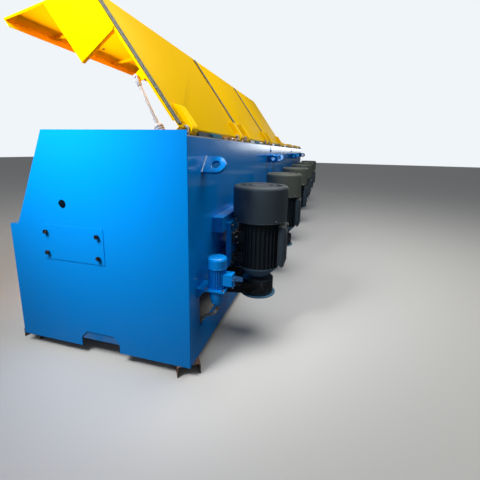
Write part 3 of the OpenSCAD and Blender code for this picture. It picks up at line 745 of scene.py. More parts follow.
def hex_bolt(across, head, washer_r, washer_t):
    """A bolt head on its washer, seated at z = 0."""
    bolt = cylinder(across / math.sqrt(3), head, 6, washer_t)
    select_faces(bolt, lambda normal: normal.z > FLAT)
    step_in(across * 0.07, across * 0.04)
    to_object_mode()
    washer = cylinder(washer_r, washer_t, 20)
    select_edges(washer, lambda a, b: min(a.z, b.z) > washer_t * 0.9)
    bpy.ops.mesh.bevel(offset=washer_t * 0.35, segments=1)
    to_object_mode()
    return joined([bolt, washer])


def round_screw(radius, height):
    """A domed screw head with a recess, seated at z = 0."""
    screw = cylinder(radius, height, 16)
    select_faces(screw, lambda normal: normal.z > FLAT)
    step_in(radius * 0.35, height * 0.35)
    step_in(radius * 0.25, -height * 0.5)
    to_object_mode()
    return smooth(screw, 50)


class WIRELINE_OT_finishes(bpy.types.Operator):
    """Gives every solid its finish"""

    bl_idname = "wire_line.finishes"
    bl_label = "Finishes"

    def execute(self, context):
        make_materials()
        left = set(NODES)
        for finish, names in NODE_FINISHES.items():
            for name in names:
                NODES[name].data.materials.clear()
                NODES[name].data.materials.append(MATERIALS[finish])
                left.discard(name)
        if left:
            raise RuntimeError(f"solids with no finish: {sorted(left)}")
        return {"FINISHED"}


class WIRELINE_OT_motor_fixings(bpy.types.Operator):
    """Bolts of the motor feet and of the mounting plates"""

    bl_idname = "wire_line.motor_fixings"
    bl_label = "Motor fixings"

    def execute(self, context):
        across, washer_t = sizes().bolt_across, 0.004
        foot_t, foot_x, foot_rows = 0.020, 0.150, (0.048, 0.216)
        edge_x, edge_z = 0.018, 0.022
        feet, corners = [], []
        for low, high in islands("motor_plates"):
            middle = (low.x + high.x) / 2
            feet += [at(middle + side * foot_x, low.y - foot_t, low.z + row, AWAY)
                     for side in SIDES for row in foot_rows]
            corners += [at(x, low.y, z, AWAY) for x in (low.x + edge_x, high.x - edge_x)
                        for z in (low.z + edge_z, high.z - edge_z)]
        repeated(hex_bolt(across, 0.018, across * 0.8, washer_t), feet, "foot_bolts", "dark_blue")
        repeated(hex_bolt(across * 0.8, 0.014, across * 0.62, washer_t), corners,
                 "plate_bolts", "dark_blue")
        return {"FINISHED"}


class WIRELINE_OT_motor_castings(bpy.types.Operator):
    """Finned castings of the motors, with their bells, feet and shafts"""

    bl_idname = "wire_line.motor_castings"
    bl_label = "Motor castings"

    def execute(self, context):
        core, shaft_r, fin_count, fin_t, lift = 0.148, 0.024, 32, 0.005, 0.001
        arm, arm_half, arm_h = 0.2095, 0.015, 0.030
        foot_half, foot_out, foot_t, foot_h, web = 0.175, 0.180, 0.020, 0.082, 0.022
        foot_rows, web_x, fine, soft = (0.032, 0.200), 0.108, 0.002, 0.004
        neck, neck_h, bell_h, bell_rim = 0.062, 0.026, 0.075, 0.010
        cowls = islands("motor_cowls")
        stator_z = cowls[0][0].z - STATOR_LEN
        pulley_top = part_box("motor_pulleys")[1].z
        fin = block((core - fin_t, -fin_t / 2, lift), (MOTOR_R, fin_t / 2, STATOR_LEN), 0.0012)
        parts = [
            cylinder(core, STATOR_LEN + arm_h, 64),
            cylinder(shaft_r, stator_z - pulley_top, 32, pulley_top - stator_z),
            arrayed(fin, [rotation(2 * math.pi * i / fin_count, "Z") for i in range(fin_count)]),
            block((-foot_half / 3, -MOTOR_R, lift), (foot_half / 3, -core * 0.8, STATOR_LEN),
                  0.003)]
        for angle in (45, 135):
            strap = block((-arm, -arm_half, STATOR_LEN), (arm, arm_half, STATOR_LEN + arm_h), fine)
            parts.append(moved(strap, rotation(math.radians(angle), "Z")))
        for z in foot_rows:
            top = z + foot_h
            parts.append(block((-foot_half, foot_out - foot_t, z), (foot_half, foot_out, top), soft))
            for x in (-web_x, web_x):
                parts.append(block((x - web / 2, core / 2, z), (x + web / 2, foot_out - lift, top),
                                   soft))
        casting = smooth(joined(parts))
        places = [shift((low.x + high.x) / 2, (low.y + high.y) / 2, stator_z) for low, high in cowls]
        castings = repeated(casting, places, "motor_castings", "motor_grey")
        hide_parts("motor_frames")
        bell = turned_shape([
            (neck, -bell_h - neck_h), (neck, -bell_h), (MOTOR_R * 0.62, -bell_h),
            (MOTOR_R * 0.66, bell_rim - bell_h), (MOTOR_R * 0.96, -bell_rim),
            (MOTOR_R * 0.96, 0.0)], 64)
        # The bells take the brightened colour that paints light into their shadow.
        repeated(smooth(bevelled(bell, fine, 2, 30)), places, "motor_bells", "bell_grey")
        return {"FINISHED"}


class WIRELINE_OT_cowl_trim(bpy.types.Operator):
    """Screws, rims and fan grilles of the motor cowls"""

    bl_idname = "wire_line.cowl_trim"
    bl_label = "Cowl trim"

    def execute(self, context):
        cowls = islands("motor_cowls")
        radius = (cowls[0][1].x - cowls[0][0].x) / 2
        screw_up, rim_up, rim_r = 0.022, 0.004, 0.003
        wire, wires = sizes().grille_wire, (0.078, 0.090, 0.128, 0.140, 0.152, 0.164)
        screws = []
        for low, high in cowls:
            middle = (low + high) / 2
            for quarter in range(4):
                turn = math.radians(45 + 90 * quarter)
                out = Vector((math.cos(turn), math.sin(turn), 0))
                screws.append(at(middle.x + out.x * radius, middle.y + out.y * radius,
                                 low.z + screw_up, out))
        repeated(round_screw(sizes().screw_r, 0.005), screws, "cowl_screws", "zinc")
        repeated(joined([ring(wire_at, wire, 48) for wire_at in wires]),
                 [over(cowl, cowl[1].z - wire) for cowl in cowls], "fan_grilles", "cowl_grey")
        repeated(ring(radius - 0.001, rim_r, 72), [over(cowl, cowl[0].z + rim_up) for cowl in cowls],
                 "cowl_rims", "cowl_grey")
        return {"FINISHED"}


class WIRELINE_OT_pulley_rims(bpy.types.Operator):
    """Rounded lower rims of the motor pulleys, coloured pale blue as a painted highlight of their lit
    edge
    """

    bl_idname = "wire_line.pulley_rims"
    bl_label = "Pulley rims"

    def execute(self, context):
        past, thick = 0.020, 0.010
        pulleys = islands("motor_pulleys")
        radius = (pulleys[0][1].x - pulleys[0][0].x) / 2 + past
        # The rim's pale colour is a painted highlight.
        rim = smooth(bevelled(cylinder(radius, thick, 72), 0.003))
        repeated(rim, [over(pulley, pulley[0].z - thick / 2) for pulley in pulleys],
                 "pulley_rims", "rim_blue")
        return {"FINISHED"}


class WIRELINE_OT_hinge_line(bpy.types.Operator):
    """Two rows of bolts along the hinge rail"""

    bl_idname = "wire_line.hinge_line"
    bl_label = "Hinge line"

    def execute(self, context):
        across = sizes().rail_bolt_across
        clear_of_ears, end_in, count = 0.26, 0.045, 7
        near_row, far_row = WALL_FACE + 0.022, WALL_FACE + 0.078
        places = []
        for start in BAY_STARTS:
            xs = evenly(start + clear_of_ears, start + PITCH - clear_of_ears, count)
            ends = [start + x for x in bay_ends(end_in)]
            places += [at(x, far_row, RAIL_FACE) for x in xs + ends]
            places += [at(x, near_row, RAIL_FACE) for x in xs[3:] + ends]
        repeated(hex_bolt(across, 0.011, across * 0.8, 0.003), places, "rail_bolts", "brown_steel")
        return {"FINISHED"}


class WIRELINE_OT_switches(bpy.types.Operator):
    """Switch boxes with their bars on the hinge rail, one to a bay"""

    bl_idname = "wire_line.switches"
    bl_label = "Hood switches"

    def execute(self, context):
        bar_x, case_x, case_end, height = 0.206, 0.440, 0.640, 0.030
        places = [shift(start, WALL_FACE, RAIL_FACE) for start in BAY_STARTS]
        case = block((case_x, 0.010, 0), (case_end, 0.040, height), 0.003)
        lid = block((case_x + 0.008, 0.006, 0.003), (case_end - 0.008, 0.011, height - 0.003), 0.0015)
        repeated(joined([case, lid]), places, "switch_boxes", "teal")
        bar = block((bar_x, 0.016, 0), (case_x - 0.004, 0.034, height), 0.002)
        repeated(bar, places, "switch_bars", "dark_blue")
        plug = block((case_end, 0.014, 0.004), (case_end + 0.020, 0.036, 0.024), 0.003)
        repeated(plug, places, "switch_plugs", "hood_yellow")
        return {"FINISHED"}


class WIRELINE_OT_terminal_boxes(bpy.types.Operator):
    """Terminal boxes of the motors, with lid screws and closed gland nuts"""

    bl_idname = "wire_line.terminal_boxes"
    bl_label = "Terminal boxes"

    def execute(self, context):
        half, height, depth, lid_t, lid_edge = 0.090, 0.310, 0.050, 0.008, 0.005
        boss, boss_in, inset, gland_x = 0.060, 0.05, 0.014, 0.045
        places = []
        for low, high in islands("motor_cowls"):
            middle = (low + high) / 2
            places.append(shift(middle.x, middle.y - MOTOR_R - depth,
                                low.z - STATOR_LEN / 2 - height / 2))
        parts = [block((-half, lid_t, 0), (half, depth + 0.002, height), 0.004),
                 block((-half - lid_edge, 0, -lid_edge),
                       (half + lid_edge, lid_t - 0.001, height + lid_edge), 0.003),
                 block((-boss, -0.004, boss_in), (boss, 0.001, height - boss_in), 0.003)]
        boxes = repeated(joined(parts), places, "junction_boxes", "box_grey")
        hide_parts("terminal_boxes")
        screws = [place @ at(side * (half - inset), 0, z, AWAY) for place in places
                  for side in SIDES for z in (inset, height - inset)]
        repeated(round_screw(0.006, 0.004), screws, "box_screws", "zinc")
        glands = [place @ at(side * gland_x, depth / 2, 0.002) for place in places for side in SIDES]
        repeated(gland_nut(0.036, 0.026), glands, "gland_nuts", "zinc")
        return {"FINISHED"}


class WIRELINE_OT_pump_trim(bpy.types.Operator):
    """Flange bolts, cowl ring and box lid of the coolant pump"""

    bl_idname = "wire_line.pump_trim"
    bl_label = "Pump trim"

    def execute(self, context):
        axis_out, flange_up, bolt_out, ring_down = 0.120, 0.134, 0.058, 0.072
        lid_half, lid_low, lid_high, screw_in = 0.027, 0.009, 0.075, 0.006
        low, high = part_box("coolant_pump")
        x, y = (low.x + high.x) / 2, WALL_FACE - axis_out
        flange = low.z + flange_up
        bolts = [at(x + side * bolt_out, y + way * bolt_out, flange) for side in SIDES
                 for way in SIDES]
        repeated(hex_bolt(*PANEL_BOLT), bolts, "pump_bolts", "zinc")
        repeated(ring((high.x - low.x) / 2 - 0.006, 0.0022, 56), [at(x, y, high.z - ring_down)],
                 "pump_ring", "body_blue")
        lid = block((x - lid_half, low.y - 0.003, flange + lid_low),
                    (x + lid_half, low.y + 0.001, flange + lid_high), 0.0015)
        dressed(lid, "pump_lid", "body_blue")
        screws = [at(x + side * (lid_half - screw_in), low.y - 0.003, z, AWAY) for side in SIDES
                  for z in (flange + lid_low + screw_in, flange + lid_high - screw_in)]
        repeated(round_screw(0.004, 0.003), screws, "pump_screws", "zinc")
        return {"FINISHED"}


class WIRELINE_OT_hose(bpy.types.Operator):
    """Braided hose of the coolant pump, with its end fittings"""

    bl_idname = "wire_line.hose"
    bl_label = "Coolant hose"

    def execute(self, context):
        corner = Vector((LINE_START, WALL_FACE, 0))
        route = [corner + Vector(point) / 1000 for point in HOSE_ROUTE]
        clear_selection()
        bpy.ops.curve.primitive_nurbs_path_add()
        hose = context.object
        curve = hose.data
        curve.splines.clear()
        spline = curve.splines.new("POLY")
        spline.points.add(len(route) - 1)
        for point, place in zip(spline.points, route):
            point.co = (*place, 1)
        hose.location = (0, 0, 0)
        curve.bevel_depth = HOSE_R
        curve.bevel_resolution = 4
        curve.use_fill_caps = True
        dressed(settle(hose), "braided_hose", "braid")
        fittings = []
        nut_len, ferrule_len = 0.014, 0.030
        for end, aim in ((route[0], route[1] - route[0]), (route[-1], route[-2] - route[-1])):
            nut = bevelled(cylinder(HOSE_R * 1.30, nut_len, 6), 0.0012)
            ferrule = bevelled(cylinder(HOSE_R * 1.12, ferrule_len, 24), 0.002)
            fittings.append(moved(joined([nut, ferrule]), at(*end, aim)))
        fittings = dressed(joined(fittings), "hose_fittings", "brass")
        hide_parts("coolant_hose")
        return {"FINISHED"}


class WIRELINE_OT_knobs(bpy.types.Operator):
    """Lobed knobs on the access covers"""

    bl_idname = "wire_line.knobs"
    bl_label = "Cover knobs"

    def execute(self, context):
        lobes, steps, waist = sizes().knob_lobes, 6, 0.84
        by_panel = 0.01
        low, high = islands("cover_knobs")[0]
        radius = (high.z - low.z) / 2
        length = high.x - low.x
        star = cylinder(radius * 0.99, length * 0.5, lobes * steps, length * 0.42)
        between = -math.cos(math.pi / steps) * 0.5
        select_edges(star, lambda a, b: abs(a.z - b.z) > length * 0.4
                     and math.cos(lobes * math.atan2(a.y, a.x)) < between)
        bpy.ops.transform.resize(value=(waist, waist, 1), center_override=(0, 0, 0))
        to_object_mode()
        smooth(bevelled(star, radius * 0.10, 3, 60), 40)
        hub = cylinder(radius * 0.55, length * 0.45, 20)
        cap = bevelled(cylinder(radius * 0.34, length * 0.08, 20, length * 0.90), radius * 0.05)
        places = []
        for low, high in islands("cover_knobs"):
            middle = (low + high) / 2
            if high.x < LINE_START + by_panel:
                places.append(at(high.x, middle.y, middle.z, (-1, 0, 0)))
            elif low.x > LINE_END - by_panel:
                places.append(at(low.x, middle.y, middle.z, (1, 0, 0)))
            else:
                places.append(at(middle.x, low.y, middle.z, (0, 1, 0)))
        knobs = repeated(joined([star, hub, cap]), places, "star_knobs", "plastic")
        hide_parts("cover_knobs")
        return {"FINISHED"}


class WIRELINE_OT_supports(bpy.types.Operator):
    """Rolled channels under the base, with rounded webs"""

    bl_idname = "wire_line.supports"
    bl_label = "Support channels"

    def execute(self, context):
        bend, wall, askew_x, askew_y = 0.014, 0.008, 0.028, 0.021
        straight = islands("support_channels")[1:]
        size = straight[0][1] - straight[0][0]
        channel = block((-size.x / 2, -size.y / 2, 0), (size.x / 2, size.y / 2, size.z))
        select_edges(channel, lambda a, b: min(a.z, b.z) > size.z - NEAR and abs(a.x - b.x) > NEAR)
        bpy.ops.mesh.bevel(offset=bend, segments=5)
        to_object_mode()
        select_faces(channel, lambda normal: abs(normal.x) > FLAT or normal.z < -FLAT)
        bpy.ops.mesh.delete(type="FACE")
        to_object_mode()
        channel = smooth(bevelled(thickened(channel, wall), 0.0012))
        places = [over(box, box[0].z) for box in straight]
        places.append(shift(LINE_START + askew_x, WALL_FACE + askew_y, 0)
                      @ rotation(FOOT_TURN, "Z") @ shift(size.x / 2, 0, 0))
        channels = repeated(channel, places, "rolled_channels", "rust")
        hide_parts("support_channels")
        return {"FINISHED"}


class WIRELINE_OT_lifting_eyes(bpy.types.Operator):
    """Lifting eyes, leaning towards the middle of their section"""

    bl_idname = "wire_line.lifting_eyes"
    bl_label = "Lifting eyes"

    def execute(self, context):
        reach, hole_r, hole_in = 0.150, 0.030, 0.003
        round_at = reach - LUG_R
        plate = moved(cylinder(LUG_R, LUG_T, 48, -LUG_T / 2), shift(round_at, 0, 0))
        root = block((0, -LUG_R, -LUG_T / 2), (round_at, LUG_R, LUG_T / 2))
        hole = moved(cylinder(hole_r, 2 * LUG_T, 40, -LUG_T), shift(round_at - hole_in, 0, 0))
        plate = combined(combined(plate, root, "UNION"), hole, "DIFFERENCE")
        places = []
        for (low, high), lean in lifting_places():
            middle = (low + high) / 2
            turn = Matrix(((0, math.sin(lean), -math.cos(lean)), (-1, 0, 0),
                           (0, math.cos(lean), math.sin(lean)))).to_4x4()
            places.append(shift(middle.x, WALL_FACE, middle.z + LUG_RISE) @ turn)
        eyes = repeated(smooth(bevelled(plate, 0.0018)), places, "lifting_eyes", "body_blue")
        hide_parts("lifting_lugs")
        return {"FINISHED"}


class WIRELINE_OT_welds(bpy.types.Operator):
    """Weld beads along the lifting eyes"""

    bl_idname = "wire_line.welds"
    bl_label = "Weld beads"

    def execute(self, context):
        radius, height = sizes().bead_r, 2 * LUG_R
        sunk, count = radius * 0.2, int(height / (radius * 0.8)) + 1
        places = []
        for (low, high), lean in lifting_places():
            middle = (low + high) / 2 + Vector((0, 0, LUG_RISE))
            along = Vector((math.sin(lean), 0, math.cos(lean)))
            across = Vector((math.cos(lean), 0, -math.sin(lean))) * LUG_T / 2
            for up in evenly(-0.5, 0.5, count):
                spot = middle + along * height * up
                places += [at(spot.x + side * across.x, WALL_FACE - sunk,
                              spot.z + side * across.z) for side in SIDES]
        # The beads' pale metal stands partly for highlights on painted welds.
        repeated(bead(radius, (1.0, 1.0, 0.75), 8, 5), places, "lifting_welds", "weld")
        return {"FINISHED"}


class WIRELINE_OT_seams(bpy.types.Operator):
    """Bolted cover strips over the joints between the sections, and beads at the corners"""

    bl_idname = "wire_line.seams"
    bl_label = "Section joints"

    def execute(self, context):
        half, thick, bead_half, bolt_x, bolt_in, count = 0.030, 0.004, 0.003, 0.018, 0.07, 9
        panels = islands("rear_panels")
        joints = [(a[1].x + b[0].x) / 2 for a, b in zip(panels, panels[1:])]
        low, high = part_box("rear_panels")
        strip = block((-half, -thick, low.z + 0.01), (half, 0, high.z - 0.01), 0.001)
        repeated(strip, [shift(x, WALL_FACE, 0) for x in joints], "joint_strips", "body_blue")
        corner = bevelled(block((-bead_half, -0.002, low.z + 0.005), (bead_half, 0.001, high.z)),
                          0.0018, 3)
        repeated(corner, [shift(x, WALL_FACE, 0) for x in (low.x, high.x)],
                 "corner_beads", "body_blue")
        bolts = [at(x + side * bolt_x, WALL_FACE - thick, z, AWAY) for x in joints
                 for side in SIDES for z in evenly(low.z + bolt_in, high.z - bolt_in, count)]
        repeated(hex_bolt(0.013, 0.007, 0.010, 0.002), bolts, "joint_bolts", "zinc")
        return {"FINISHED"}


class WIRELINE_OT_pins(bpy.types.Operator):
    """Heads of the hinge pins"""

    bl_idname = "wire_line.pins"
    bl_label = "Hinge pins"

    def execute(self, context):
        half = 0.0625
        places = [at(start + x + side * half, HINGE.y, HINGE.z, (side, 0, 0))
                  for start in BAY_STARTS for x in bay_ends(ARM_X) for side in SIDES]
        repeated(bevelled(cylinder(0.013, 0.007, 20), 0.002), places, "pin_heads", "zinc")
        return {"FINISHED"}


class WIRELINE_OT_struts(bpy.types.Operator):
    """Gas struts: a slim tube above and a sleeve with its collar below"""

    bl_idname = "wire_line.struts"
    bl_label = "Gas struts"

    def execute(self, context):
        tube, sleeve = self.tube(), self.sleeve()
        for k in range(BAYS):
            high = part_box(f"strut_rods_{k + 1}")[1]
            head = Vector((0, high.y - HEAD_EYE_R, high.z - HEAD_EYE_R))
            foot = Vector((0, STRUT_FOOT.y, STRUT_FOOT.z))
            along = (foot - head).normalized()
            xs = [BAY_STARTS[k] + x for x in bay_ends(STRUT_X)]
            upper = repeated(tube, [at(x, *head.yz, along) for x in xs], f"gas_springs_{k + 1}",
                             "silver", f"strut_rods_{k + 1}", keep=True)
            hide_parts(f"strut_rods_{k + 1}")
            lower = repeated(sleeve, [at(x, *foot.yz, -along) for x in xs],
                             f"spring_sleeves_{k + 1}", "silver", f"strut_tubes_{k + 1}", keep=True)
            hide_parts(f"strut_tubes_{k + 1}")
        discard(tube, sleeve)
        return {"FINISHED"}

    def eye(self):
        return bevelled(crosswise(0.016, 0.020), 0.002)

    def tube(self):
        """Tube from its eye at z = 0, with the eye's stud, a clevis and a locknut."""
        length, radius, start, stud_r, stud_w, half = 0.282, 0.009, 0.010, 0.006, 0.035, 0.0125
        stud = bevelled(crosswise(stud_r, stud_w), 0.001)
        clevis = block((-half, -half, 0.006), (half, half, 0.046), 0.004)
        locknut = bevelled(cylinder(0.0150, 0.008, 6, 0.047), 0.0015)
        stem = bevelled(cylinder(radius, length - start, 24, start), 0.001)
        return smooth(joined([stem, self.eye(), stud, clevis, locknut]))

    def sleeve(self):
        """Hollow sleeve from its eye at z = 0, with a ringed collar over the foot."""
        radius, end, bore_r, bore_low = 0.0125, 0.190, 0.0105, 0.019
        low, high, collar_r, rounding = 0.084, 0.150, 0.028, 0.008
        sleeve = turned_shape([
            (radius, 0.010), (radius, low), (collar_r * 0.7, low), (collar_r, low + rounding),
            (collar_r, high - 2 * rounding), (collar_r * 0.7, high - rounding), (radius, high),
            (radius, end)], 32)
        sleeve = combined(sleeve, cylinder(bore_r, end, 32, bore_low), "DIFFERENCE")
        rings = [moved(ring(collar_r - 0.001, 0.004, 32), shift(0, 0, low + 0.014 * (i + 1)))
                 for i in range(3)]
        return smooth(joined([sleeve, *rings, self.eye()]))


def under_sheet(x, width, near, far, depth):
    """A bar or plate under a hood's sheet, reaching into it."""
    return block((x, near, -depth), (x + width, far, -HOOD_T / 2))


class WIRELINE_OT_hoods(bpy.types.Operator):
    """Folded hoods with their cheeks, ribs, hinge arms and strut lugs, and their rubber strips"""

    bl_idname = "wire_line.hoods"
    bl_label = "Hoods"

    def execute(self, context):
        start, end = HOOD_IN, PITCH - HOOD_IN
        model = self.shell(start, end)
        strip, ridges = self.strip(start + 0.004)
        for k in range(BAYS):
            hood = repeated(model, [on_hood(k)], f"folded_hood_{k + 1}", "hood_yellow",
                            f"hood_{k + 1}", keep=True)
            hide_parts(f"hood_{k + 1}")
            band = repeated(strip, [on_hood(k)], f"sealing_strip_{k + 1}", "strip",
                            f"hood_{k + 1}", keep=True)
            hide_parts(f"hood_strip_{k + 1}")
            # The pale ridges carry painted highlights along the strip.
            repeated(ridges, [on_hood(k)], f"strip_ridges_{k + 1}", "strip_ridge",
                     f"hood_{k + 1}", keep=True)
        discard(model, strip, ridges)
        return {"FINISHED"}

    def shell(self, start, end):
        """The yellow hood: sheet, ribs, flanges, cheeks, hinge arms and strut lugs."""
        rib_x, rib_half, rib_d, flange, fold, lug_x = 0.370, 0.020, 0.024, 0.015, 0.025, 0.122
        flap = shift(0, HOOD_TOP, 0) @ rotation(-FLAP_TILT, "X")
        down = CHEEK_DEPTH / math.sin(FLAP_TILT)
        parts = [self.sheet(start, end)]
        for x in bay_ends(rib_x):
            parts += [under_sheet(x - rib_half, 2 * rib_half, 0.004, HOOD_TOP - 0.024, rib_d),
                      moved(under_sheet(x - rib_half, 2 * rib_half, 0.020, FLAP_LEN - 0.03, rib_d),
                            flap)]
        for x in (start, end - HOOD_T):
            parts += [under_sheet(x, HOOD_T, 0.050, CHEEK_START + 0.01, flange),
                      moved(under_sheet(x, HOOD_T, down - 0.01, FLAP_LEN - 0.002, flange), flap),
                      self.cheek(x)]
        parts += [under_sheet(x, fold, CHEEK_START, CHEEK_START + HOOD_T, CHEEK_DEPTH)
                  for x in (start, end - fold)]
        parts = [bevelled(part, 0.0012) for part in parts]
        parts += [moved(self.arm(), shift(x, 0, 0)) for x in bay_ends(ARM_X)]
        parts += [moved(self.strut_lug(), shift(x, 0, 0)) for x in bay_ends(lug_x)]
        return smooth(joined(parts))

    def sheet(self, start, end):
        """Top panel, flap, return and rear lip, folded from one sheet, notched at the hinges."""
        back, lip, bend_r, fold_r, lip_r = 0.065, 0.025, 0.026, 0.012, 0.006
        notch_half, notch_far = 0.070, 0.045
        clear_selection()
        bpy.ops.mesh.primitive_plane_add(size=1, location=((start + end) / 2, HOOD_TOP / 2, 0))
        sheet = bpy.context.object
        sheet.scale = (end - start, HOOD_TOP, 1)
        settle(sheet)
        out, down = FLAP_LEN * math.cos(FLAP_TILT), -FLAP_LEN * math.sin(FLAP_TILT)
        select_edges(sheet, lambda a, b: min(a.y, b.y) > HOOD_TOP - NEAR)
        bpy.ops.mesh.extrude_region_move(TRANSFORM_OT_translate={"value": (0, out, down)})
        bpy.ops.mesh.extrude_region_move(TRANSFORM_OT_translate={"value": (0, -back, 0)})
        to_object_mode()
        select_edges(sheet, lambda a, b: max(a.y, b.y) < NEAR)
        bpy.ops.mesh.extrude_region_move(TRANSFORM_OT_translate={"value": (0, 0, -lip)})
        to_object_mode()
        for y, z, radius, segments in ((HOOD_TOP, 0, bend_r, 6), (0, 0, lip_r, 3),
                                       (HOOD_TOP + out, down, fold_r, 3)):
            select_edges(sheet, lambda a, b: all(abs(co.y - y) < NEAR and abs(co.z - z) < NEAR
                                                 for co in (a, b)))
            bpy.ops.mesh.bevel(offset=radius, segments=segments)
            to_object_mode()
        thickened(sheet, HOOD_T)
        for x in bay_ends(ARM_X):
            notch = block((x - notch_half, -0.010, -0.050), (x + notch_half, notch_far, 0.020))
            combined(sheet, notch, "DIFFERENCE")
        return sheet

    def cheek(self, x):
        """Side cheek between top panel and flap, one sheet thick."""
        far = HOOD_TOP + CHEEK_DEPTH / math.tan(FLAP_TILT)
        cheek = under_sheet(x, HOOD_T, CHEEK_START, far - 0.003, CHEEK_DEPTH)
        select_edges(cheek, lambda a, b: min(a.y, b.y) > far - HOOD_T and min(a.z, b.z) > -0.003)
        bpy.ops.transform.translate(value=(0, HOOD_TOP - far - 0.008, 0))
        to_object_mode()
        return cheek

    def arm(self):
        """Hinge arm with a round at both ends and the bore of its pin."""
        half, radius, reach, bore_r = 0.045, 0.037, 0.125, 0.0083
        arm = block((-half, 0, -radius), (half, reach, radius))
        for y in (0, reach):
            arm = combined(arm, crosswise(radius, 2 * half, y, 0, 48), "UNION")
        arm = combined(arm, crosswise(bore_r, 3 * half), "DIFFERENCE")
        return bevelled(arm, 0.003)

    def strut_lug(self):
        """Plate that carries the head of a strut."""
        u, depth, radius, half, spread = 0.430, 0.093, 0.024, 0.004, 0.021
        lug = under_sheet(-half, 2 * half, u - radius, u + radius, depth)
        for side in SIDES:
            select_edges(lug, lambda a, b: min(a.z, b.z) > -0.003
                         and min((a.y - u) * side, (b.y - u) * side) > 0)
            bpy.ops.transform.translate(value=(0, side * spread, 0))
            to_object_mode()
        lug = combined(lug, crosswise(radius, 2 * half, u, -depth), "UNION")
        return bevelled(lug, 0.001)

    def strip(self, start):
        """Rubber strip and the four ridges along it, coloured pale as painted highlights."""
        width, near, far, thick, ridge = 0.042, 0.020, 0.920, 0.005, 0.0045
        band = block((start, near, 0.0), (start + width, far, thick), 0.001)
        ridges = [block((x, near, thick - 0.001), (x + ridge, far, thick + 0.003), 0.0015)
                  for x in evenly(start, start + width - ridge, 4)]
        return band, joined(ridges)


class WIRELINE_OT_hood_trim(bpy.types.Operator):
    """Spot welds and plugs of the hood flaps"""

    bl_idname = "wire_line.hood_trim"
    bl_label = "Hood trim"

    def execute(self, context):
        step, row_up, row_in, hole_x, hole_down = 0.055, 0.022, 0.06, 0.735, 0.495
        down = Vector((0, math.cos(FLAP_TILT), -math.sin(FLAP_TILT)))
        inward = Vector((0, -math.sin(FLAP_TILT), -math.cos(FLAP_TILT)))
        bend = Vector((0, HOOD_TOP, 0)) + inward * HOOD_T
        row = bend + down * (FLAP_LEN - row_up)
        hole = bend + down * hole_down
        count = int((PITCH - 2 * row_in) / step) + 1
        spots = [at(row_in + step * i, row.y, row.z, inward) for i in range(count)]
        spot = bead(0.008, (1.5, 1.0, 0.35), 10, 6)
        plug = bevelled(cylinder(0.011, 0.003, 24), 0.001)
        for k in range(BAYS):
            repeated(spot, [on_hood(k) @ place for place in spots], f"spot_welds_{k + 1}",
                     "hood_yellow", f"hood_{k + 1}", keep=True)
            repeated(plug, [on_hood(k) @ at(hole_x, hole.y, hole.z, inward)],
                     f"hood_plug_{k + 1}", "plastic", f"hood_{k + 1}", keep=True)
        discard(spot, plug)
        return {"FINISHED"}


class WIRELINE_OT_blocks(bpy.types.Operator):
    """Cap bolts of the drawing blocks, sheave nuts and lid handles of the die boxes"""

    bl_idname = "wire_line.blocks"
    bl_label = "Drawing blocks"

    def execute(self, context):
        circle, count, recess = 0.070, 8, 0.004
        bolts = []
        for low, high in islands("drawing_blocks"):
            middle = (low + high) / 2
            for i in range(count):
                turn = 2 * math.pi * i / count
                bolts.append(at(middle.x + circle * math.cos(turn),
                                middle.y + circle * math.sin(turn), high.z - recess))
        repeated(hex_bolt(0.019, 0.012, 0.015, 0.003), bolts, "block_bolts", "dark_steel")
        repeated(hex_bolt(0.030, 0.016, 0.026, 0.003),
                 [over(box, box[1].z) for box in islands("guide_sheaves")], "sheave_nuts", "zinc")
        grip, post_x, post_h = 0.045, 0.036, 0.024
        parts = [block((-grip, -0.008, 0.022), (grip, 0.008, 0.034), 0.004)]
        for side in SIDES:
            post = bevelled(cylinder(0.006, post_h, 16), 0.001)
            parts.append(moved(post, shift(side * post_x, 0, 0)))
        repeated(joined(parts), [over(box, box[1].z) for box in islands("die_boxes")],
                 "box_handles", "zinc")
        return {"FINISHED"}


class WIRELINE_OT_skirt(bpy.types.Operator):
    """Bolts along the upper and lower edge of the operator side's panels"""

    bl_idname = "wire_line.skirt"
    bl_label = "Front skirt"

    def execute(self, context):
        in_bay, low_in, high_in = 6, 0.035, 0.025
        low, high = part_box("front_panels")
        step = PITCH / in_bay
        places = [at(LINE_START + step * (i + 0.5), high.y, z, (0, 1, 0))
                  for i in range(in_bay * BAYS) for z in (low.z + low_in, high.z - high_in)]
        repeated(hex_bolt(*PANEL_BOLT), places, "skirt_bolts", "zinc")
        return {"FINISHED"}


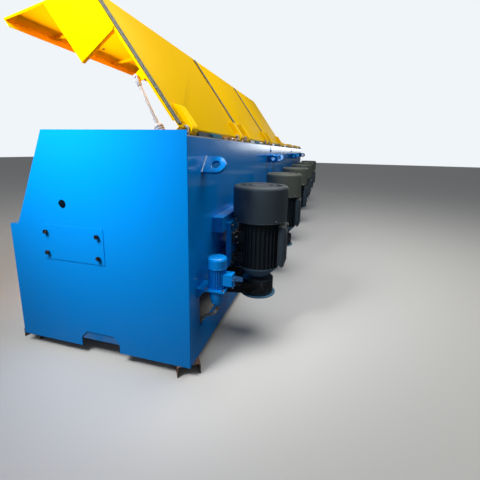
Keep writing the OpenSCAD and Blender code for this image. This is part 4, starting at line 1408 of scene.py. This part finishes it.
class WIRELINE_OT_stage(bpy.types.Operator):
    """Floor, lamps and the camera at the photograph's viewing angle"""

    bl_idname = "wire_line.stage"
    bl_label = "Stage"

    def execute(self, context):
        self.floor()
        self.backdrop(context.scene)
        self.lamps(context.scene)
        self.camera(context.scene)
        context.scene.view_settings.view_transform = "Standard"
        return {"FINISHED"}

    def floor(self):
        """A pale floor that throws little light on the machine."""
        thrown, seen = (0.10, 0.10, 0.11), (0.66, 0.66, 0.65)
        clear_selection()
        bpy.ops.mesh.primitive_plane_add(size=80, location=(0, 0, -0.0005))
        floor = bpy.context.object
        floor.name = "floor"
        pale = Finish("pale_floor", Specular_IOR_Level=0.1)
        to_camera = pale.node("ShaderNodeLightPath", {}, out="Is Camera Ray")
        pale.coat(pale.mix(to_camera, thrown, seen), 0.9)
        floor.data.materials.append(pale.material)

    def backdrop(self, scene):
        """A pale backdrop, dim in the machine's light but for a bright far end."""
        seen, dull, in_gloss, bright = 0.95, 0.20, 0.07, 3.5
        world = bpy.data.worlds.new("studio")
        scene.world = world
        world.use_nodes = True
        graph = Graph(world.node_tree)
        shader = graph.tree.nodes["Background"]
        shader.inputs["Color"].default_value = (0.92, 0.96, 1.0, 1)
        to_camera = graph.node("ShaderNodeLightPath", {}, out="Is Camera Ray")
        to_gloss = graph.node("ShaderNodeLightPath", {}, out="Is Glossy Ray")
        toward = graph.node("ShaderNodeTexCoord", {}, out="Generated")
        along, up = toward.axis("X"), toward.axis("Z")
        window = along.ranged(0.95, 0.985) * up.ranged(-0.005, 0.01) * up.ranged(0.10, 0.20, 1.0, 0.0)
        dim = (dull - to_gloss * (dull - in_gloss)).math("MAXIMUM", window * bright)
        graph.feed(shader.inputs["Strength"], dim + to_camera * (seen - dim))

    def lamps(self, scene):
        """Soft lamps, of which only the roof lamp shows in glossy surfaces."""
        for name, place, aim, size, power, spread, colour in LAMPS:
            lamp = bpy.data.lights.new(name, "AREA")
            lamp.size = size
            lamp.energy = power
            lamp.spread = math.radians(spread)
            lamp.color = colour
            holder = bpy.data.objects.new(name, lamp)
            holder.visible_glossy = name == "roof_lamp"
            holder.location = place
            holder.rotation_mode = "QUATERNION"
            holder.rotation_quaternion = (Vector(aim) - Vector(place)).to_track_quat("-Z", "Y")
            scene.collection.objects.link(holder)

    def camera(self, scene):
        """The photograph's camera, whose frame lies a little below its axis."""
        props = sizes()
        pixels, pixels_down = 480, 26
        camera = bpy.data.cameras.new("camera")
        camera.lens = props.lens
        camera.sensor_width = 36.0
        camera.shift_y = -pixels_down / pixels
        camera.clip_start = 0.05
        holder = bpy.data.objects.new("camera", camera)
        scene.collection.objects.link(holder)
        holder.matrix_world = (
            shift(LINE_START - props.eye_x, WALL_FACE - props.eye_y, props.eye_z)
            @ rotation(props.yaw - math.pi / 2, "Z") @ rotation(math.pi / 2 - props.pitch, "X")
            @ rotation(props.roll, "Z"))
        scene.camera = holder


OPERATORS = (WIRELINE_OT_finishes, WIRELINE_OT_stage, WIRELINE_OT_hose, WIRELINE_OT_motor_castings,
             WIRELINE_OT_motor_fixings, WIRELINE_OT_lifting_eyes, WIRELINE_OT_hoods,
             WIRELINE_OT_cowl_trim, WIRELINE_OT_pulley_rims, WIRELINE_OT_terminal_boxes,
             WIRELINE_OT_pump_trim, WIRELINE_OT_hinge_line, WIRELINE_OT_switches,
             WIRELINE_OT_pins, WIRELINE_OT_struts, WIRELINE_OT_knobs, WIRELINE_OT_supports,
             WIRELINE_OT_welds, WIRELINE_OT_seams, WIRELINE_OT_hood_trim, WIRELINE_OT_blocks,
             WIRELINE_OT_skirt)


class WIRELINE_PT_panel(bpy.types.Panel):
    """Lists the steps that dress the machine"""

    bl_idname = "WIRELINE_PT_panel"
    bl_label = "Wire drawing machine"
    bl_space_type = "VIEW_3D"
    bl_region_type = "UI"
    bl_category = "Wire line"

    def draw(self, context):
        for step in OPERATORS:
            self.layout.operator(step.bl_idname)
        for group in (sizes(), colours()):
            for name in group.__annotations__:
                self.layout.prop(group, name)


CLASSES = (Sizes, Colours, *OPERATORS, WIRELINE_PT_panel)


def register():
    for cls in CLASSES:
        bpy.utils.register_class(cls)
    bpy.types.Scene.wire_line_sizes = PointerProperty(type=Sizes)
    bpy.types.Scene.wire_line_colours = PointerProperty(type=Colours)


def unregister():
    del bpy.types.Scene.wire_line_colours
    del bpy.types.Scene.wire_line_sizes
    for cls in reversed(CLASSES):
        bpy.utils.unregister_class(cls)


def main():
    register()
    for step in OPERATORS:
        group, name = step.bl_idname.split(".")
        getattr(getattr(bpy.ops, group), name)()


if __name__ == "__main__":
    main()
